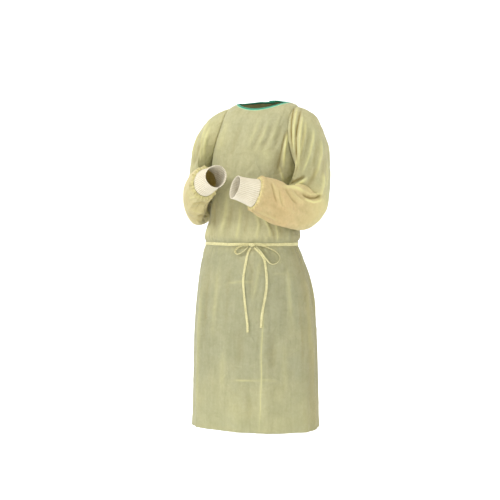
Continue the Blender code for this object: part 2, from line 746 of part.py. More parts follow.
for old in list(bpy.data.objects):
    bpy.data.objects.remove(old, do_unlink=True)
GOWN = bpy.data.collections.new("isolation_gown")
bpy.context.scene.collection.children.link(GOWN)
build()
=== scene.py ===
"""Isolation gown in its worn shape: thin pale yellow nonwoven round an empty inside.

Metres, +Z up. The front faces -Y and the gown's left, as worn, is +X. Angles
round the body are in degrees from the middle of the front (0), to the left side seam
(90), to the middle of the back (180).
"""
import math
from collections import namedtuple

import bpy
import numpy as np
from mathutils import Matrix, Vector


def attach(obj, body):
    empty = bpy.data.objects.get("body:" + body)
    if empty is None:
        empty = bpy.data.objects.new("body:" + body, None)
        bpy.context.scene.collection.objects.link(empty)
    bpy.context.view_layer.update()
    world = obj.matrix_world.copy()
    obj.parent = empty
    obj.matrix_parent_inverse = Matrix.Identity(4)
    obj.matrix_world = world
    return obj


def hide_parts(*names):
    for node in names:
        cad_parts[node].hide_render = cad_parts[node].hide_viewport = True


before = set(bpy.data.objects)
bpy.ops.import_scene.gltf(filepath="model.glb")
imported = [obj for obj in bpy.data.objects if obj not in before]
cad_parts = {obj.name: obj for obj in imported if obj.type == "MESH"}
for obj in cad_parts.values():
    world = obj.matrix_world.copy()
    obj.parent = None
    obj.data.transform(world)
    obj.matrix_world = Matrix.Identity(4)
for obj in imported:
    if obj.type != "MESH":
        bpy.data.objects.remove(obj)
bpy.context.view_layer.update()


def table(kind, *rows):
    """Rows of plain values, read under the column names of their kind."""
    return tuple(kind(*row) for row in rows)


# ---- sizes of the gown ------------------------------------------------------
HEM_HEIGHT = -1.080
UNDERARM_HEIGHT = -0.235
BELT_HEIGHT = -0.467
NECK_HALF_WIDTH = 0.087
NECK_HALF_DEPTH = 0.066
NECK_FRONT_DROP = 0.022
NECK_BACK_RISE = 0.010
NECK_LEAN = (0.62, 0.78)
PACKED_CLOTH = 0.0012
BODY_SQUARENESS = 2.2
OVERLAP_DEGREES = 14.0
OVERLAP_STEP = 0.0026
OVERLAP_FADE_DEGREES = 12.0
LAY_GAP = 0.0003
NUDGE = 0.0005
ARMHOLE_ROWS = 11
ARMHOLE_TOP = 0.76
ARMHOLE_FRONT_DEGREES = 36.0
ARMHOLE_BACK_DEGREES = 34.0
BINDING_WIDTH = 0.008
BINDING_THICKNESS = 0.0011
CUFF_RIBS = 40
CUFF_RIB_HEIGHT = 0.0011
CUFF_THICKNESS = 0.0018
CUFF_MEAN_RADIUS = 0.036
BELT_WIDTH = 0.010
BELT_THICKNESS = 0.0014
BELT_STEP_DEGREES = 2.0
TAPE_HALF_WIDTH = 0.0041
KNOT_PLACE = 0.018
KNOT_HALF_WIDTH = 0.0100
KNOT_HALF_HEIGHT = 0.0076
KNOT_HALF_DEPTH = 0.0044
KNOT_LIFT = 0.0062
KNOT_DROP = 0.0005

# ---- fineness of the cloth ----------------------------------------------------
CLOTH_WALL = 0.0008
STITCH_PITCH = 0.0046
STITCH_LENGTH = 0.0034
STITCH_RADIUS = 0.0004
FRONT_COLUMNS = 176
BACK_COLUMNS = 84
SKIRT_ROWS = 118
WAIST_ROWS = 66
YOKE_ROWS = 66
COLLAR_ROWS = 14
SLEEVE_COLUMNS = 216
SLEEVE_ROWS = 216

BodySection = namedtuple("BodySection", "height half_width half_depth shift_x shift_y")
BODY_SECTIONS = table(
    BodySection,
    (-1.080, 0.222, 0.155, -0.028, -0.012),
    (-0.900, 0.218, 0.153, -0.028, -0.012),
    (-0.785, 0.215, 0.150, -0.028, -0.014),
    (-0.684, 0.208, 0.146, -0.028, -0.016),
    (-0.624, 0.199, 0.141, -0.029, -0.018),
    (-0.564, 0.187, 0.134, -0.031, -0.021),
    (-0.510, 0.172, 0.122, -0.033, -0.023),
    (-0.467, 0.158, 0.112, -0.035, -0.024),
    (-0.440, 0.162, 0.121, -0.032, -0.022),
    (-0.380, 0.149, 0.126, -0.028, -0.020),
    (-0.300, 0.148, 0.129, -0.023, -0.015),
    (-0.235, 0.158, 0.128, -0.018, -0.011),
    (-0.100, 0.158, 0.128, -0.012, -0.005),
    (0.000, 0.158, 0.128, 0.000, 0.000),
)

YokeHandle = namedtuple("YokeHandle", "climb stand_out lift")
YOKE_FRONT = YokeHandle(0.100, 0.034, -0.030)
YOKE_SIDE = YokeHandle(0.170, 0.052, -0.008)
YOKE_BACK = YokeHandle(0.130, 0.052, -0.012)

# Main folds of the body: ridges stand out, troughs have a negative height.
BodyFold = namedtuple("BodyFold", "angle width top bottom height lean")
BODY_FOLDS = table(
    BodyFold,
    (6, 10, -0.49, -1.08, 0.0045, -4),
    (25, 7, -0.52, -1.08, 0.0050, 2),
    (47, 11, -0.48, -1.08, -0.0050, 6),
    (66, 10, -0.47, -1.08, 0.0060, 4),
    (98, 13, -0.48, -1.08, -0.0055, 3),
    (126, 14, -0.47, -1.08, 0.0070, 6),
    (155, 12, -0.48, -1.08, -0.0050, 0),
    (205, 14, -0.47, -1.08, 0.0065, -3),
    (236, 13, -0.48, -1.08, -0.0050, -5),
    (262, 13, -0.47, -1.08, 0.0065, -4),
    (292, 12, -0.48, -1.08, -0.0050, -2),
    (318, 12, -0.47, -1.08, 0.0055, 2),
    (342, 10, -0.49, -1.08, -0.0045, 3),
    (14, 9, -0.30, -0.47, 0.0040, 5),
    (-18, 10, -0.28, -0.47, 0.0035, -6),
    (44, 10, -0.26, -0.47, 0.0050, -8),
    (-48, 10, -0.26, -0.47, 0.0045, 8),
    (140, 12, -0.24, -0.47, 0.0055, 5),
    (220, 12, -0.24, -0.47, 0.0050, -5),
)

SleeveStation = namedtuple("SleeveStation", "inner outer half_across front lean")
SLEEVE_STATIONS = table(
    SleeveStation,
    ((0.168, 0.000, -0.2380), (0.162, 0.000, -0.0200), 0.092, (0.0, -1.0, 0.0), 0.012),
    ((0.167, 0.000, -0.2470), (0.199, 0.000, -0.0640), 0.091, (0.0, -1.0, 0.0), 0.035),
    ((0.165, 0.000, -0.2570), (0.228, 0.000, -0.1280), 0.092, (0.0, -1.0, 0.0), 0.055),
    ((0.163, 0.001, -0.2740), (0.241, 0.002, -0.2150), 0.092, (0.0, -1.0, -0.05), 0.068),
    ((0.160, 0.004, -0.3080), (0.250, 0.006, -0.2900), 0.086, (0.0, -1.0, 0.15), 0.052),
    ((0.161, -0.004, -0.3380), (0.250, 0.004, -0.3380), 0.077, (0.0, -0.8, 0.6), 0.018),
    ((0.150, -0.064, -0.3460), (0.236, -0.056, -0.3480), 0.072, (0.0, -0.15, 1.0), 0.0),
    ((0.118, -0.122, -0.3330), (0.202, -0.150, -0.3370), 0.068, (0.0, 0.0, 1.0), 0.0),
    ((0.092, -0.154, -0.3140), (0.171, -0.198, -0.3190), 0.063, (0.1, 0.1, 1.0), 0.0),
    ((0.074, -0.173, -0.3030), (0.140, -0.231, -0.3070), 0.0575, (0.2, 0.1, 1.0), 0.0),
    ((0.066, -0.180, -0.3000), (0.131, -0.240, -0.3040), 0.0550, (0.2, 0.1, 1.0), 0.0),
    ((0.0665, -0.187, -0.2985), (0.1225, -0.237, -0.3015), 0.0460, (0.2, 0.1, 1.0), 0.0),
)

# Main folds of a sleeve: along is a share of its way and around is in degrees
# from the line next to the body (0), over the front (90), to the outer line.
SleeveFold = namedtuple("SleeveFold", "along length around width height slant")
LEFT_SLEEVE_FOLDS = table(
    SleeveFold,
    (0.12, 0.30, 92, 13, 0.0050, -60),
    (0.20, 0.34, 128, 16, -0.0045, -50),
    (0.30, 0.30, 160, 18, 0.0050, -40),
    (0.50, 0.055, 104, 60, -0.0060, 0),
    (0.56, 0.045, 120, 70, 0.0055, 0),
    (0.62, 0.055, 96, 60, -0.0050, 0),
    (0.34, 0.30, 245, 20, 0.0050, 30),
    (0.66, 0.06, 250, 50, 0.0045, 0),
    (0.80, 0.22, 60, 16, 0.0040, 20),
    (0.84, 0.22, 200, 18, 0.0040, -20),
    (0.82, 0.22, 300, 18, 0.0045, 10),
)
RIGHT_SLEEVE_FOLDS = table(
    SleeveFold,
    (0.14, 0.32, 88, 14, 0.0050, -45),
    (0.22, 0.30, 122, 16, -0.0040, -40),
    (0.32, 0.32, 168, 18, 0.0045, -30),
    (0.48, 0.055, 100, 60, -0.0060, 0),
    (0.54, 0.045, 112, 66, 0.0055, 0),
    (0.61, 0.055, 92, 56, -0.0050, 0),
    (0.32, 0.28, 235, 20, 0.0055, 25),
    (0.68, 0.06, 262, 50, 0.0045, 0),
    (0.79, 0.22, 52, 16, 0.0040, 15),
    (0.85, 0.22, 190, 18, 0.0045, -15),
    (0.81, 0.22, 310, 18, 0.0040, 12),
)
WRIST_SHIFT = {1: (0.0, 0.0, 0.0), -1: (0.012, 0.0, 0.034)}
WRIST_SHIFT_START = 0.42
WRIST_SHIFT_FULL = 0.72
GATHER_START = 0.76
GATHER_FULL = 0.92
GATHER_FADE = 0.985

# Small gathers of the sleeve's end: waves round the wrist, height and turn.
Gather = namedtuple("Gather", "waves height turn")
WRIST_GATHERS = table(
    Gather,
    (12, 0.0018, 0.0),
    (19, 0.0014, 1.1),
    (31, 0.0010, 2.3),
)

CuffRing = namedtuple("CuffRing", "along half_height half_width")
CUFF_DIRECTION = (-0.80, -0.53, 0.29)
CUFF_RINGS = table(
    CuffRing,
    (0.000, 0.0440, 0.0370),
    (0.014, 0.0415, 0.0370),
    (0.044, 0.0370, 0.0350),
    (0.068, 0.0365, 0.0350),
)

TapePoint = namedtuple("TapePoint", "aside down lift turn")
LOOP_LEFT = table(
    TapePoint,
    (0.0120, 0.000, 0.0068, 74),
    (0.030, 0.004, 0.0072, 72),
    (0.052, 0.012, 0.0076, 68),
    (0.072, 0.025, 0.0078, 66),
    (0.083, 0.043, 0.0076, 66),
    (0.077, 0.059, 0.0074, 66),
    (0.062, 0.062, 0.0076, 68),
    (0.050, 0.050, 0.0088, 70),
    (0.038, 0.034, 0.0096, 72),
    (0.024, 0.017, 0.0102, 74),
    (0.0120, 0.006, 0.0080, 76),
)
LOOP_RIGHT = table(
    TapePoint,
    (-0.0120, 0.000, 0.0068, 74),
    (-0.030, 0.003, 0.0072, 72),
    (-0.046, 0.010, 0.0074, 68),
    (-0.055, 0.021, 0.0074, 66),
    (-0.048, 0.031, 0.0074, 66),
    (-0.034, 0.027, 0.0076, 70),
    (-0.021, 0.016, 0.0080, 74),
    (-0.0120, 0.006, 0.0080, 76),
)
END_LEFT = table(
    TapePoint,
    (0.006, 0.0095, 0.0030, 0),
    (0.024, 0.024, 0.0028, 0),
    (0.040, 0.043, 0.0026, 0),
    (0.047, 0.066, 0.0026, 8),
    (0.053, 0.098, 0.0024, 0),
    (0.055, 0.132, 0.0024, -10),
    (0.052, 0.167, 0.0024, 0),
    (0.047, 0.201, 0.0024, 10),
    (0.043, 0.236, 0.0026, 0),
    (0.041, 0.268, 0.0026, 0),
)
END_RIGHT = table(
    TapePoint,
    (-0.005, 0.0095, 0.0030, 0),
    (-0.011, 0.025, 0.0028, 0),
    (-0.015, 0.050, 0.0022, 8),
    (-0.018, 0.083, 0.0018, 0),
    (-0.020, 0.116, 0.0018, 0),
    (-0.017, 0.150, 0.0018, -8),
    (-0.012, 0.189, 0.0018, 0),
    (-0.007, 0.226, 0.0018, 8),
    (-0.003, 0.258, 0.0020, 0),
    (-0.002, 0.284, 0.0020, 0),
)

# ---- the camera, fitted to the photograph's outline ------------------------
PHOTO_SIZE = 500.0
VIEW_DEGREES = 25.0
VIEW_DISTANCE = 4.5
VIEW_RISE = 0.19
VIEW_TARGET_OUT = -0.047
VIEW_TARGET_HEIGHT = -0.49
FOCAL_PIXELS = 1343.0
SENSOR_WIDTH = 36.0

# Creases placed on the photograph, in its pixels: the width and height are in metres, tone is how much
# painted highlight (up to 1) or painted shade (down to -1) lies along them, with some wear in the pale
# packing creases, and the path is a few (across, down) places.
PhotoCrease = namedtuple("PhotoCrease", "width height tone path")
# The right armhole's ridge, with painted highlight along it.
RIGHT_ARMHOLE_RIDGE = PhotoCrease(
    0.0060, 0.0044, 0.50, ((213, 118), (209.5, 128), (206, 138), (204, 148), (203.4, 160), (204.5, 170)))
BODY_CREASES = table(
    PhotoCrease,
    # the packing creases: a long upright one and three short level ones, pale from wear and painted highlight
    (0.0024, 0.0012, 0.46,
     ((264.6, 300), (262.5, 333), (261, 356), (261.6, 375), (260.4, 405), (259, 446))),
    (0.0024, 0.0010, 0.42, ((226, 381), (252, 380.2), (282, 380.8))),
    (0.0032, 0.0008, 0.26, ((226, 282.8), (240, 282), (256, 282.2))),
    (0.0034, 0.0006, 0.12, ((270, 274), (298, 274.6))),
    # the left armhole: a ridge with painted highlight between two thin lines of painted shade, then painted
    # shade in the armpit with a ridge of painted highlight through it
    (0.0044, 0.0050, 0.80,
     ((292.7, 108), (290.4, 125), (286.6, 138.5), (284.4, 150), (283.6, 161), (283.6, 173))),
    (0.0032, -0.0040, -0.62, ((289, 127), (285, 136), (282.6, 145), (281, 154), (279, 164), (275.5, 176))),
    (0.0130, -0.0040, -0.38, ((281, 146), (279.5, 162), (278, 182))),
    (0.0036, 0.0030, 0.45, ((279, 166), (281.4, 174), (283.4, 182))),
    # the right armhole: its ridge with painted highlight, and painted shade beside it
    RIGHT_ARMHOLE_RIDGE,
    (0.0060, -0.0034, -0.24, ((219, 121), (214, 133), (210.5, 146), (209, 158))),
    # soft slants across the chest, with painted highlight on the ridges and painted shade in the troughs
    (0.0130, 0.0036, 0.08, ((233, 108), (224, 132), (215, 164))),
    (0.0120, -0.0034, -0.06, ((246, 110), (236, 138), (226, 170))),
    (0.0060, 0.0026, 0.16, ((263, 112), (255, 132), (246, 152))),
    (0.0060, -0.0026, -0.12, ((267, 114), (260, 134), (250, 156))),
    (0.0060, 0.0030, 0.20, ((272, 113), (264, 134), (252, 160))),
    (0.0070, -0.0030, -0.13, ((276, 114), (269, 136), (257, 162))),
    (0.0070, 0.0030, 0.16, ((281, 112), (275, 132), (264, 158))),
    (0.0060, -0.0026, -0.14, ((284, 116), (279, 136), (270, 160))),
    (0.0200, 0.0030, 0.14, ((262, 142), (268, 158), (260, 170))),
    # just above the belt, folds with painted highlight on the ridges and painted shade in the troughs
    (0.0040, 0.0026, 0.50, ((209.4, 188), (208.4, 214), (207.4, 241))),
    (0.0080, -0.0046, -0.22, ((214, 192), (214, 220), (214, 243))),
    (0.0070, 0.0044, 0.34, ((228, 186), (226, 212), (219.5, 243))),
    (0.0080, -0.0044, -0.24, ((233, 192), (230, 216), (225, 243))),
    (0.0050, 0.0036, 0.34, ((241, 202), (239.5, 224), (235.5, 243))),
    (0.0090, -0.0040, -0.20, ((247, 202), (246, 224), (243, 243))),
    (0.0056, 0.0036, 0.32, ((255, 209), (259, 224), (256, 243))),
    (0.0032, 0.0026, 0.44, ((258, 210), (265.5, 221), (269.5, 230), (270.6, 240))),
    (0.0040, -0.0030, -0.26, ((262, 213), (269.5, 223), (273.5, 232), (274.5, 243))),
    (0.0034, 0.0028, 0.40, ((271, 217), (276, 226), (277.5, 236), (277, 243))),
    (0.0060, -0.0030, -0.18, ((279, 222), (281.5, 232), (281, 244))),
    (0.0060, 0.0030, 0.14, ((289, 224), (287, 236), (284, 245))),
    # the painted shadow under the belt and under its knot, then the skirt's long soft folds with painted
    # highlight and painted shade
    (0.0045, 0.0016, -0.20, ((209, 247.4), (232, 247.8), (252, 248), (276, 246.6), (298, 245.4))),
    (0.0060, -0.0010, -0.34, ((244, 249), (251, 250), (259, 248.6))),
    (0.0080, -0.0036, -0.14, ((247, 249), (252, 272), (251, 304))),
    (0.0070, 0.0040, 0.14, ((262, 247), (258, 276), (250, 312))),
    (0.0080, 0.0040, 0.10, ((282, 246), (288, 276), (293, 340))),
    (0.0090, -0.0042, -0.16, ((291, 246), (299, 286), (303, 336), (304, 425))),
    (0.0080, 0.0038, 0.10, ((298, 250), (307, 292), (311, 380))),
    (0.0080, 0.0038, 0.12, ((224, 247), (218, 276), (211, 350))),
    (0.0080, -0.0036, -0.12, ((214, 247), (207, 288), (202, 360))),
    (0.0080, -0.0032, -0.10, ((232, 248), (229, 276), (224, 340))),
    (0.0056, 0.0028, 0.22, ((203, 270), (198.4, 330), (197.6, 380), (198, 432))),
    (0.0120, -0.0030, -0.14, ((238, 320), (240, 352), (236, 378))),
    (0.0150, 0.0030, 0.05, ((226, 330), (222, 370), (224, 415))),
    (0.0140, 0.0028, 0.05, ((285, 320), (284, 370), (287, 420))),
    (0.0120, -0.0028, -0.14, ((274, 330), (272, 356), (275, 380))),
    (0.0110, -0.0028, -0.12, ((246, 388), (249, 408), (247, 430))),
    (0.0070, 0.0024, 0.14, ((308, 300), (312.4, 350), (313.4, 420))),
)
LEFT_SLEEVE_CREASES = table(
    PhotoCrease,
    # two thin lines of painted shade beside the armhole
    (0.0026, -0.0036, -1.00,
     ((296.4, 99), (293.4, 110), (291.6, 120), (290.8, 130), (291.6, 141), (293, 152))),
    (0.0028, -0.0044, -1.00, ((303, 104), (299.4, 116), (297, 128), (295.8, 140), (296, 152), (297, 166))),
    # long folds of the upper sleeve, with painted highlight on the ridges and painted shade in the troughs
    (0.0036, 0.0034, 0.70, ((299, 102), (295.8, 115), (294, 128), (293.4, 140), (294, 154))),
    (0.0042, 0.0040, 0.66, ((303.6, 110), (300.8, 128), (299, 144), (298.8, 160), (298, 176))),
    (0.0060, -0.0046, -0.34, ((306, 116), (304, 134), (302, 147), (300, 160), (297, 174))),
    (0.0046, 0.0040, 0.55, ((306, 116), (305, 132), (302, 146), (298, 159), (293.6, 172))),
    (0.0064, -0.0040, -0.22, ((310, 122), (309, 138), (305.4, 153), (300, 168), (297, 175))),
    (0.0048, 0.0042, 0.50, ((313.6, 124), (313, 140), (309.6, 154), (304.6, 167), (300, 176))),
    (0.0070, -0.0044, -0.30, ((317.6, 132), (317, 150), (313, 165), (307, 177))),
    (0.0050, 0.0040, 0.50, ((321, 136), (321, 154), (317.6, 170), (312, 182))),
    (0.0060, -0.0032, -0.20, ((324.6, 150), (324, 168), (319.6, 186))),
    (0.0050, 0.0030, 0.40, ((327, 158), (327.4, 176), (325, 192))),
    # the elbow: ridges with painted highlight over short folds with painted shade
    (0.0040, -0.0060, -0.72, ((288, 184.4), (294, 182), (299, 179.6), (306, 175.6))),
    (0.0060, 0.0050, 0.90, ((289, 187), (296, 184.8), (302, 182), (309, 177))),
    (0.0080, -0.0046, -0.42, ((301, 190), (308, 185.6), (314, 176), (317.6, 160))),
    (0.0066, 0.0044, 0.85, ((279, 186), (289, 187), (298, 188.8), (304, 192), (308, 197))),
    (0.0040, -0.0064, -0.78, ((301, 192.4), (306, 196.6), (311, 198.2), (317, 197.4), (323, 193.6))),
    (0.0042, 0.0056, 0.90, ((302, 196.6), (307, 200.6), (313, 202.2), (319, 201), (324, 196.4))),
    (0.0040, 0.0030, 0.50, ((303, 190.4), (309, 194.4), (316, 194.4), (321, 190.6))),
    (0.0056, 0.0036, 0.62, ((324, 170), (323.4, 184), (321, 194), (317, 203))),
    # painted highlight in broad places along the lower sleeve, and a little painted shade low on it
    (0.0150, 0.0010, 0.34, ((264, 176), (259, 190), (255, 210))),
    (0.0100, 0.0016, 0.26, ((275, 182), (279, 196), (286, 212))),
    (0.0120, 0.0016, 0.30, ((284, 186), (297, 198), (312, 208))),
    (0.0200, -0.0010, -0.10, ((290, 218), (305, 222), (318, 210))),
    # thin lines of painted shade along the lower sleeve, with painted highlight beside them
    (0.0026, -0.0022, -0.40, ((270.6, 180.6), (272.4, 187), (274.4, 196), (277.4, 205))),
    (0.0050, 0.0028, 0.24, ((273, 181), (275.4, 192), (279, 204))),
    (0.0026, -0.0020, -0.30, ((279, 188), (279.6, 197), (283, 208))),
    (0.0026, -0.0022, -0.38, ((285, 186), (287.6, 193), (292, 199.4), (298, 205))),
    (0.0046, 0.0026, 0.26, ((288.6, 188), (293, 195.4), (299.6, 201.6))),
    (0.0030, -0.0020, -0.30, ((293, 189.6), (298, 195.6), (304, 200))),
    (0.0080, 0.0032, 0.14, ((280, 204), (293, 212), (308, 217))),
    (0.0080, -0.0032, -0.16, ((296, 204), (304, 211), (314, 216))),
    (0.0080, -0.0028, -0.14, ((266, 200), (276, 208), (288, 214))),
)
RIGHT_SLEEVE_CREASES = table(
    PhotoCrease,
    # ridges with painted highlight and troughs with painted shade, down the upper sleeve and across the
    # forearm
    RIGHT_ARMHOLE_RIDGE,
    (0.0044, 0.0036, 0.45, ((212, 116), (205, 130), (201.4, 142), (200.6, 153), (200.4, 166))),
    (0.0056, -0.0040, -0.30, ((204, 136), (198.6, 148), (195.6, 158), (192, 168))),
    (0.0050, 0.0034, 0.35, ((200, 130), (194.6, 146), (191, 160))),
    (0.0050, 0.0040, 0.45, ((187, 199), (196, 196.4), (207, 197.6))),
    (0.0040, -0.0040, -0.30, ((192, 202), (200, 203.6), (208, 203))),
    (0.0056, 0.0040, 0.40, ((190, 209.6), (199, 211.4), (208, 210.6))),
    (0.0040, -0.0042, -0.34, ((196, 216), (203, 215), (209, 216.4))),
    (0.0070, -0.0044, -0.42, ((203, 216), (205.4, 222), (206.4, 230))),
    (0.0044, 0.0030, 0.34, ((194, 218), (199, 222.6), (203.4, 229))),
)

# Folds of the back and the sleeves' hidden sides, of the same kind: places
# are (angle, height) on the body and (around, share of the way) on a sleeve.
HiddenFold = namedtuple("HiddenFold", "first_angle first_height last_angle last_height width height")
BACK_FOLDS = table(
    HiddenFold,
    (150, -0.09, 128, -0.24, 0.012, 0.0040),
    (142, -0.12, 120, -0.27, 0.010, -0.0034),
    (166, -0.12, 160, -0.30, 0.013, 0.0032),
    (210, -0.09, 232, -0.24, 0.012, 0.0040),
    (218, -0.12, 240, -0.28, 0.010, -0.0034),
    (196, -0.14, 204, -0.34, 0.013, 0.0030),
    (122, -0.30, 132, -0.45, 0.010, 0.0036),
    (154, -0.33, 150, -0.455, 0.009, 0.0034),
    (212, -0.32, 216, -0.455, 0.010, 0.0036),
    (240, -0.29, 232, -0.455, 0.010, -0.0034),
    (136, -0.49, 142, -0.70, 0.012, 0.0040),
    (160, -0.49, 164, -0.78, 0.012, 0.0034),
    (200, -0.49, 196, -0.72, 0.012, -0.0034),
    (224, -0.49, 218, -0.76, 0.012, 0.0040),
    (250, -0.49, 252, -0.70, 0.011, 0.0034),
    (112, -0.49, 108, -0.74, 0.011, 0.0036),
)
SLEEVE_HIDDEN_FOLDS = table(
    HiddenFold,
    (236, 0.04, 262, 0.36, 0.010, 0.0040),
    (262, 0.06, 284, 0.34, 0.010, -0.0034),
    (288, 0.05, 304, 0.30, 0.010, 0.0036),
    (214, 0.10, 226, 0.38, 0.010, 0.0034),
    (318, 0.42, 352, 0.50, 0.008, -0.0046),
    (300, 0.47, 350, 0.54, 0.008, 0.0044),
    (280, 0.60, 292, 0.86, 0.010, 0.0036),
    (312, 0.58, 322, 0.88, 0.010, -0.0034),
    (236, 0.62, 246, 0.88, 0.010, 0.0036),
    (262, 0.64, 268, 0.90, 0.009, -0.0030),
)

# Creases narrower than SHARP_WIDTH run out over a shorter share of their path.
SHARP_WIDTH = 0.0058
SHARP_TAPER = 0.24
SOFT_TAPER = 0.42
HIDDEN_RISE = 1.4

# Small gathers at the belt, spread unevenly round the waist.
BELT_GATHERS = 60
BELT_CLEAR = 0.0055
BELT_FADE = 0.012
BELT_SEED = 11

# Widths over which creases fade out beside an armhole, a seam and the neck.
ARMHOLE_FADE = 0.014
CRUMPLE_FADE = 0.020
NECK_FADE = 0.030
YOKE_LENGTH = 0.30
HEM_WAVE_REACH = 0.05
PUCKER_HEIGHT = 0.0004
PUCKER_WIDTH = 0.012
SEAM_PINCH = 0.0008
PINCH_WIDTH = 0.004

# Faint scattered creases: how many, how high, and the seed of each piece.
BODY_CRUMPLE = (260, 0.0018)
SLEEVE_CRUMPLE = (150, 0.0022)
SEEDS = {"front": 3, "back left": 4, "back right": 5, 1: 6, -1: 7}


# ---- small helpers ----------------------------------------------------------
def mix(first, second, share):
    return first + (second - first) * share


def ease(share):
    share = np.clip(share, 0.0, 1.0)
    return share * share * (3.0 - 2.0 * share)


def bump(distance, width):
    """A soft hill: 1 in its middle, 0 from width outwards."""
    reach = np.minimum(np.abs(distance) / width, 1.0)
    return (1.0 - reach * reach) ** 2


def turn_apart(first, second):
    return (first - second + 180.0) % 360.0 - 180.0


def smooth_rows(rows, place):
    """The values of a table of rows at places between them."""
    last = len(rows) - 1
    place = np.clip(place, 0.0, last - 1e-9)
    start = place.astype(int)
    share = (place - start)[..., None]
    before, begin, end, after = [rows[np.clip(start + step, 0, last)] for step in (-1, 0, 1, 2)]
    return 0.5 * (
        2.0 * begin
        + (end - before) * share
        + (2.0 * before - 5.0 * begin + 4.0 * end - after) * share ** 2
        + (3.0 * begin - before - 3.0 * end + after) * share ** 3
    )


SECTION_ROWS = np.array(BODY_SECTIONS)
STATION_ROWS = np.array([
    row.inner + row.outer + (row.half_across,) + row.front + (row.lean,) for row in SLEEVE_STATIONS
])
CUFF_ROWS = np.array(CUFF_RINGS)


def body_section(height):
    place = np.interp(height, SECTION_ROWS[:, 0], np.arange(len(SECTION_ROWS)))
    return smooth_rows(SECTION_ROWS, np.asarray(place))


def sway(height):
    rows = body_section(height)
    return np.stack([rows[..., 3], rows[..., 4], np.zeros_like(height)], -1)


def out_of(angle):
    turned = np.radians(angle)
    return np.stack([np.sin(turned), -np.cos(turned), np.zeros_like(turned)], -1)


def unit(vectors):
    return vectors / np.maximum(np.linalg.norm(vectors, axis=-1, keepdims=True), 1e-12)


# ---- the surface of the body ---------------------------------------------------
def fold_height(angle, height):
    total = np.zeros(np.broadcast(angle, height).shape)
    for fold in BODY_FOLDS:
        down = (fold.top - height) / (fold.top - fold.bottom)
        swell = ease(down * 3.0)
        if fold.bottom > HEM_HEIGHT:
            swell = swell * ease((1.0 - down) * 3.0)
        near = (down > -0.1) & (down < 1.1)
        apart = turn_apart(angle, fold.angle + fold.lean * down)
        total += near * fold.height * swell * bump(apart, fold.width)
    return total


def overlap_lift(angle, layer):
    fade = ease((np.abs(turn_apart(angle, 180.0)) - OVERLAP_DEGREES) / OVERLAP_FADE_DEGREES)
    return layer * OVERLAP_STEP * (1.0 - fade)


def ring_point(angle, height, lift):
    rows = body_section(height)
    outward = out_of(angle)
    power = 2.0 / BODY_SQUARENESS
    grow = lift + fold_height(angle, height)
    across = np.sign(outward[..., 0]) * np.abs(outward[..., 0]) ** power * rows[..., 1]
    fore = np.sign(outward[..., 1]) * np.abs(outward[..., 1]) ** power * rows[..., 2]
    return np.stack([
        rows[..., 3] + across + outward[..., 0] * grow,
        rows[..., 4] + fore + outward[..., 1] * grow,
        height + np.zeros_like(angle),
    ], -1)


def neck_point(angle):
    outward = out_of(angle)
    fore = -outward[..., 1]
    drop = NECK_FRONT_DROP * np.maximum(fore, 0.0) ** 2 - NECK_BACK_RISE * np.maximum(-fore, 0.0) ** 2
    return np.stack([outward[..., 0] * NECK_HALF_WIDTH, outward[..., 1] * NECK_HALF_DEPTH, -drop], -1)


def body_point(angle, level, layer):
    """The body's surface: level -1 at the hem, 0 at the underarm, 1 at the neck."""
    angle, level, layer = np.broadcast_arrays(
        np.asarray(angle, float), np.asarray(level, float), np.asarray(layer, float))
    lift = overlap_lift(angle, layer)
    low = ring_point(angle, mix(UNDERARM_HEIGHT, HEM_HEIGHT, np.maximum(-level, 0.0)), lift)
    outward = out_of(angle)
    share = outward[..., 1] ** 2
    climb, stand_out, rise = [
        mix(side, np.where(outward[..., 1] < 0.0, fore, back), share)[..., None]
        for side, fore, back in zip(YOKE_SIDE, YOKE_FRONT, YOKE_BACK)
    ]
    underarm = np.full_like(angle, UNDERARM_HEIGHT)
    start = ring_point(angle, underarm, lift)
    slope = (start - ring_point(angle, underarm - NUDGE, lift)) / NUDGE
    upward = np.array((0.0, 0.0, 1.0))
    end = neck_point(angle) + (outward * NECK_LEAN[0] + upward * NECK_LEAN[1]) * lift[..., None]
    low_handle = start + slope * climb
    high_handle = end + outward * stand_out + upward * rise
    way = np.maximum(level, 0.0)[..., None]
    rest = 1.0 - way
    high = start * rest ** 3 + low_handle * 3.0 * rest ** 2 * way
    high = high + high_handle * 3.0 * rest * way ** 2 + end * way ** 3
    return np.where(level[..., None] <= 0.0, low, high)


def armhole_level(step):
    return ARMHOLE_TOP * 0.5 * (1.0 - np.cos(np.pi * step / ARMHOLE_ROWS))


def armhole_half_angle(step, degrees):
    return degrees * np.sin(np.pi * step / ARMHOLE_ROWS)


def level_of(height):
    return (height - UNDERARM_HEIGHT) / (UNDERARM_HEIGHT - HEM_HEIGHT)


def panel_rows():
    """Each row's level and its armhole step, from the hem to the neck."""
    heights = np.concatenate([
        np.linspace(HEM_HEIGHT, BELT_HEIGHT, SKIRT_ROWS, endpoint=False),
        np.linspace(BELT_HEIGHT, UNDERARM_HEIGHT, WAIST_ROWS, endpoint=False),
    ])
    steps = np.linspace(0.0, ARMHOLE_ROWS, YOKE_ROWS)
    levels = np.concatenate([
        level_of(heights), armhole_level(steps),
        np.linspace(ARMHOLE_TOP, 1.0, COLLAR_ROWS + 1)[1:],
    ])
    return levels, np.concatenate([np.zeros(len(heights)), steps, np.full(COLLAR_ROWS, float(ARMHOLE_ROWS))])


def armhole_point(side, around):
    """A point of the armhole: underarm (0), up the front, over the top (180)."""
    front = around <= 180.0
    step = np.where(front, around, 360.0 - around) / 180.0 * ARMHOLE_ROWS
    turn = armhole_half_angle(step, np.where(front, ARMHOLE_FRONT_DEGREES, ARMHOLE_BACK_DEGREES))
    return body_point(side * np.where(front, 90.0 - turn, 90.0 + turn), armhole_level(step), 0)


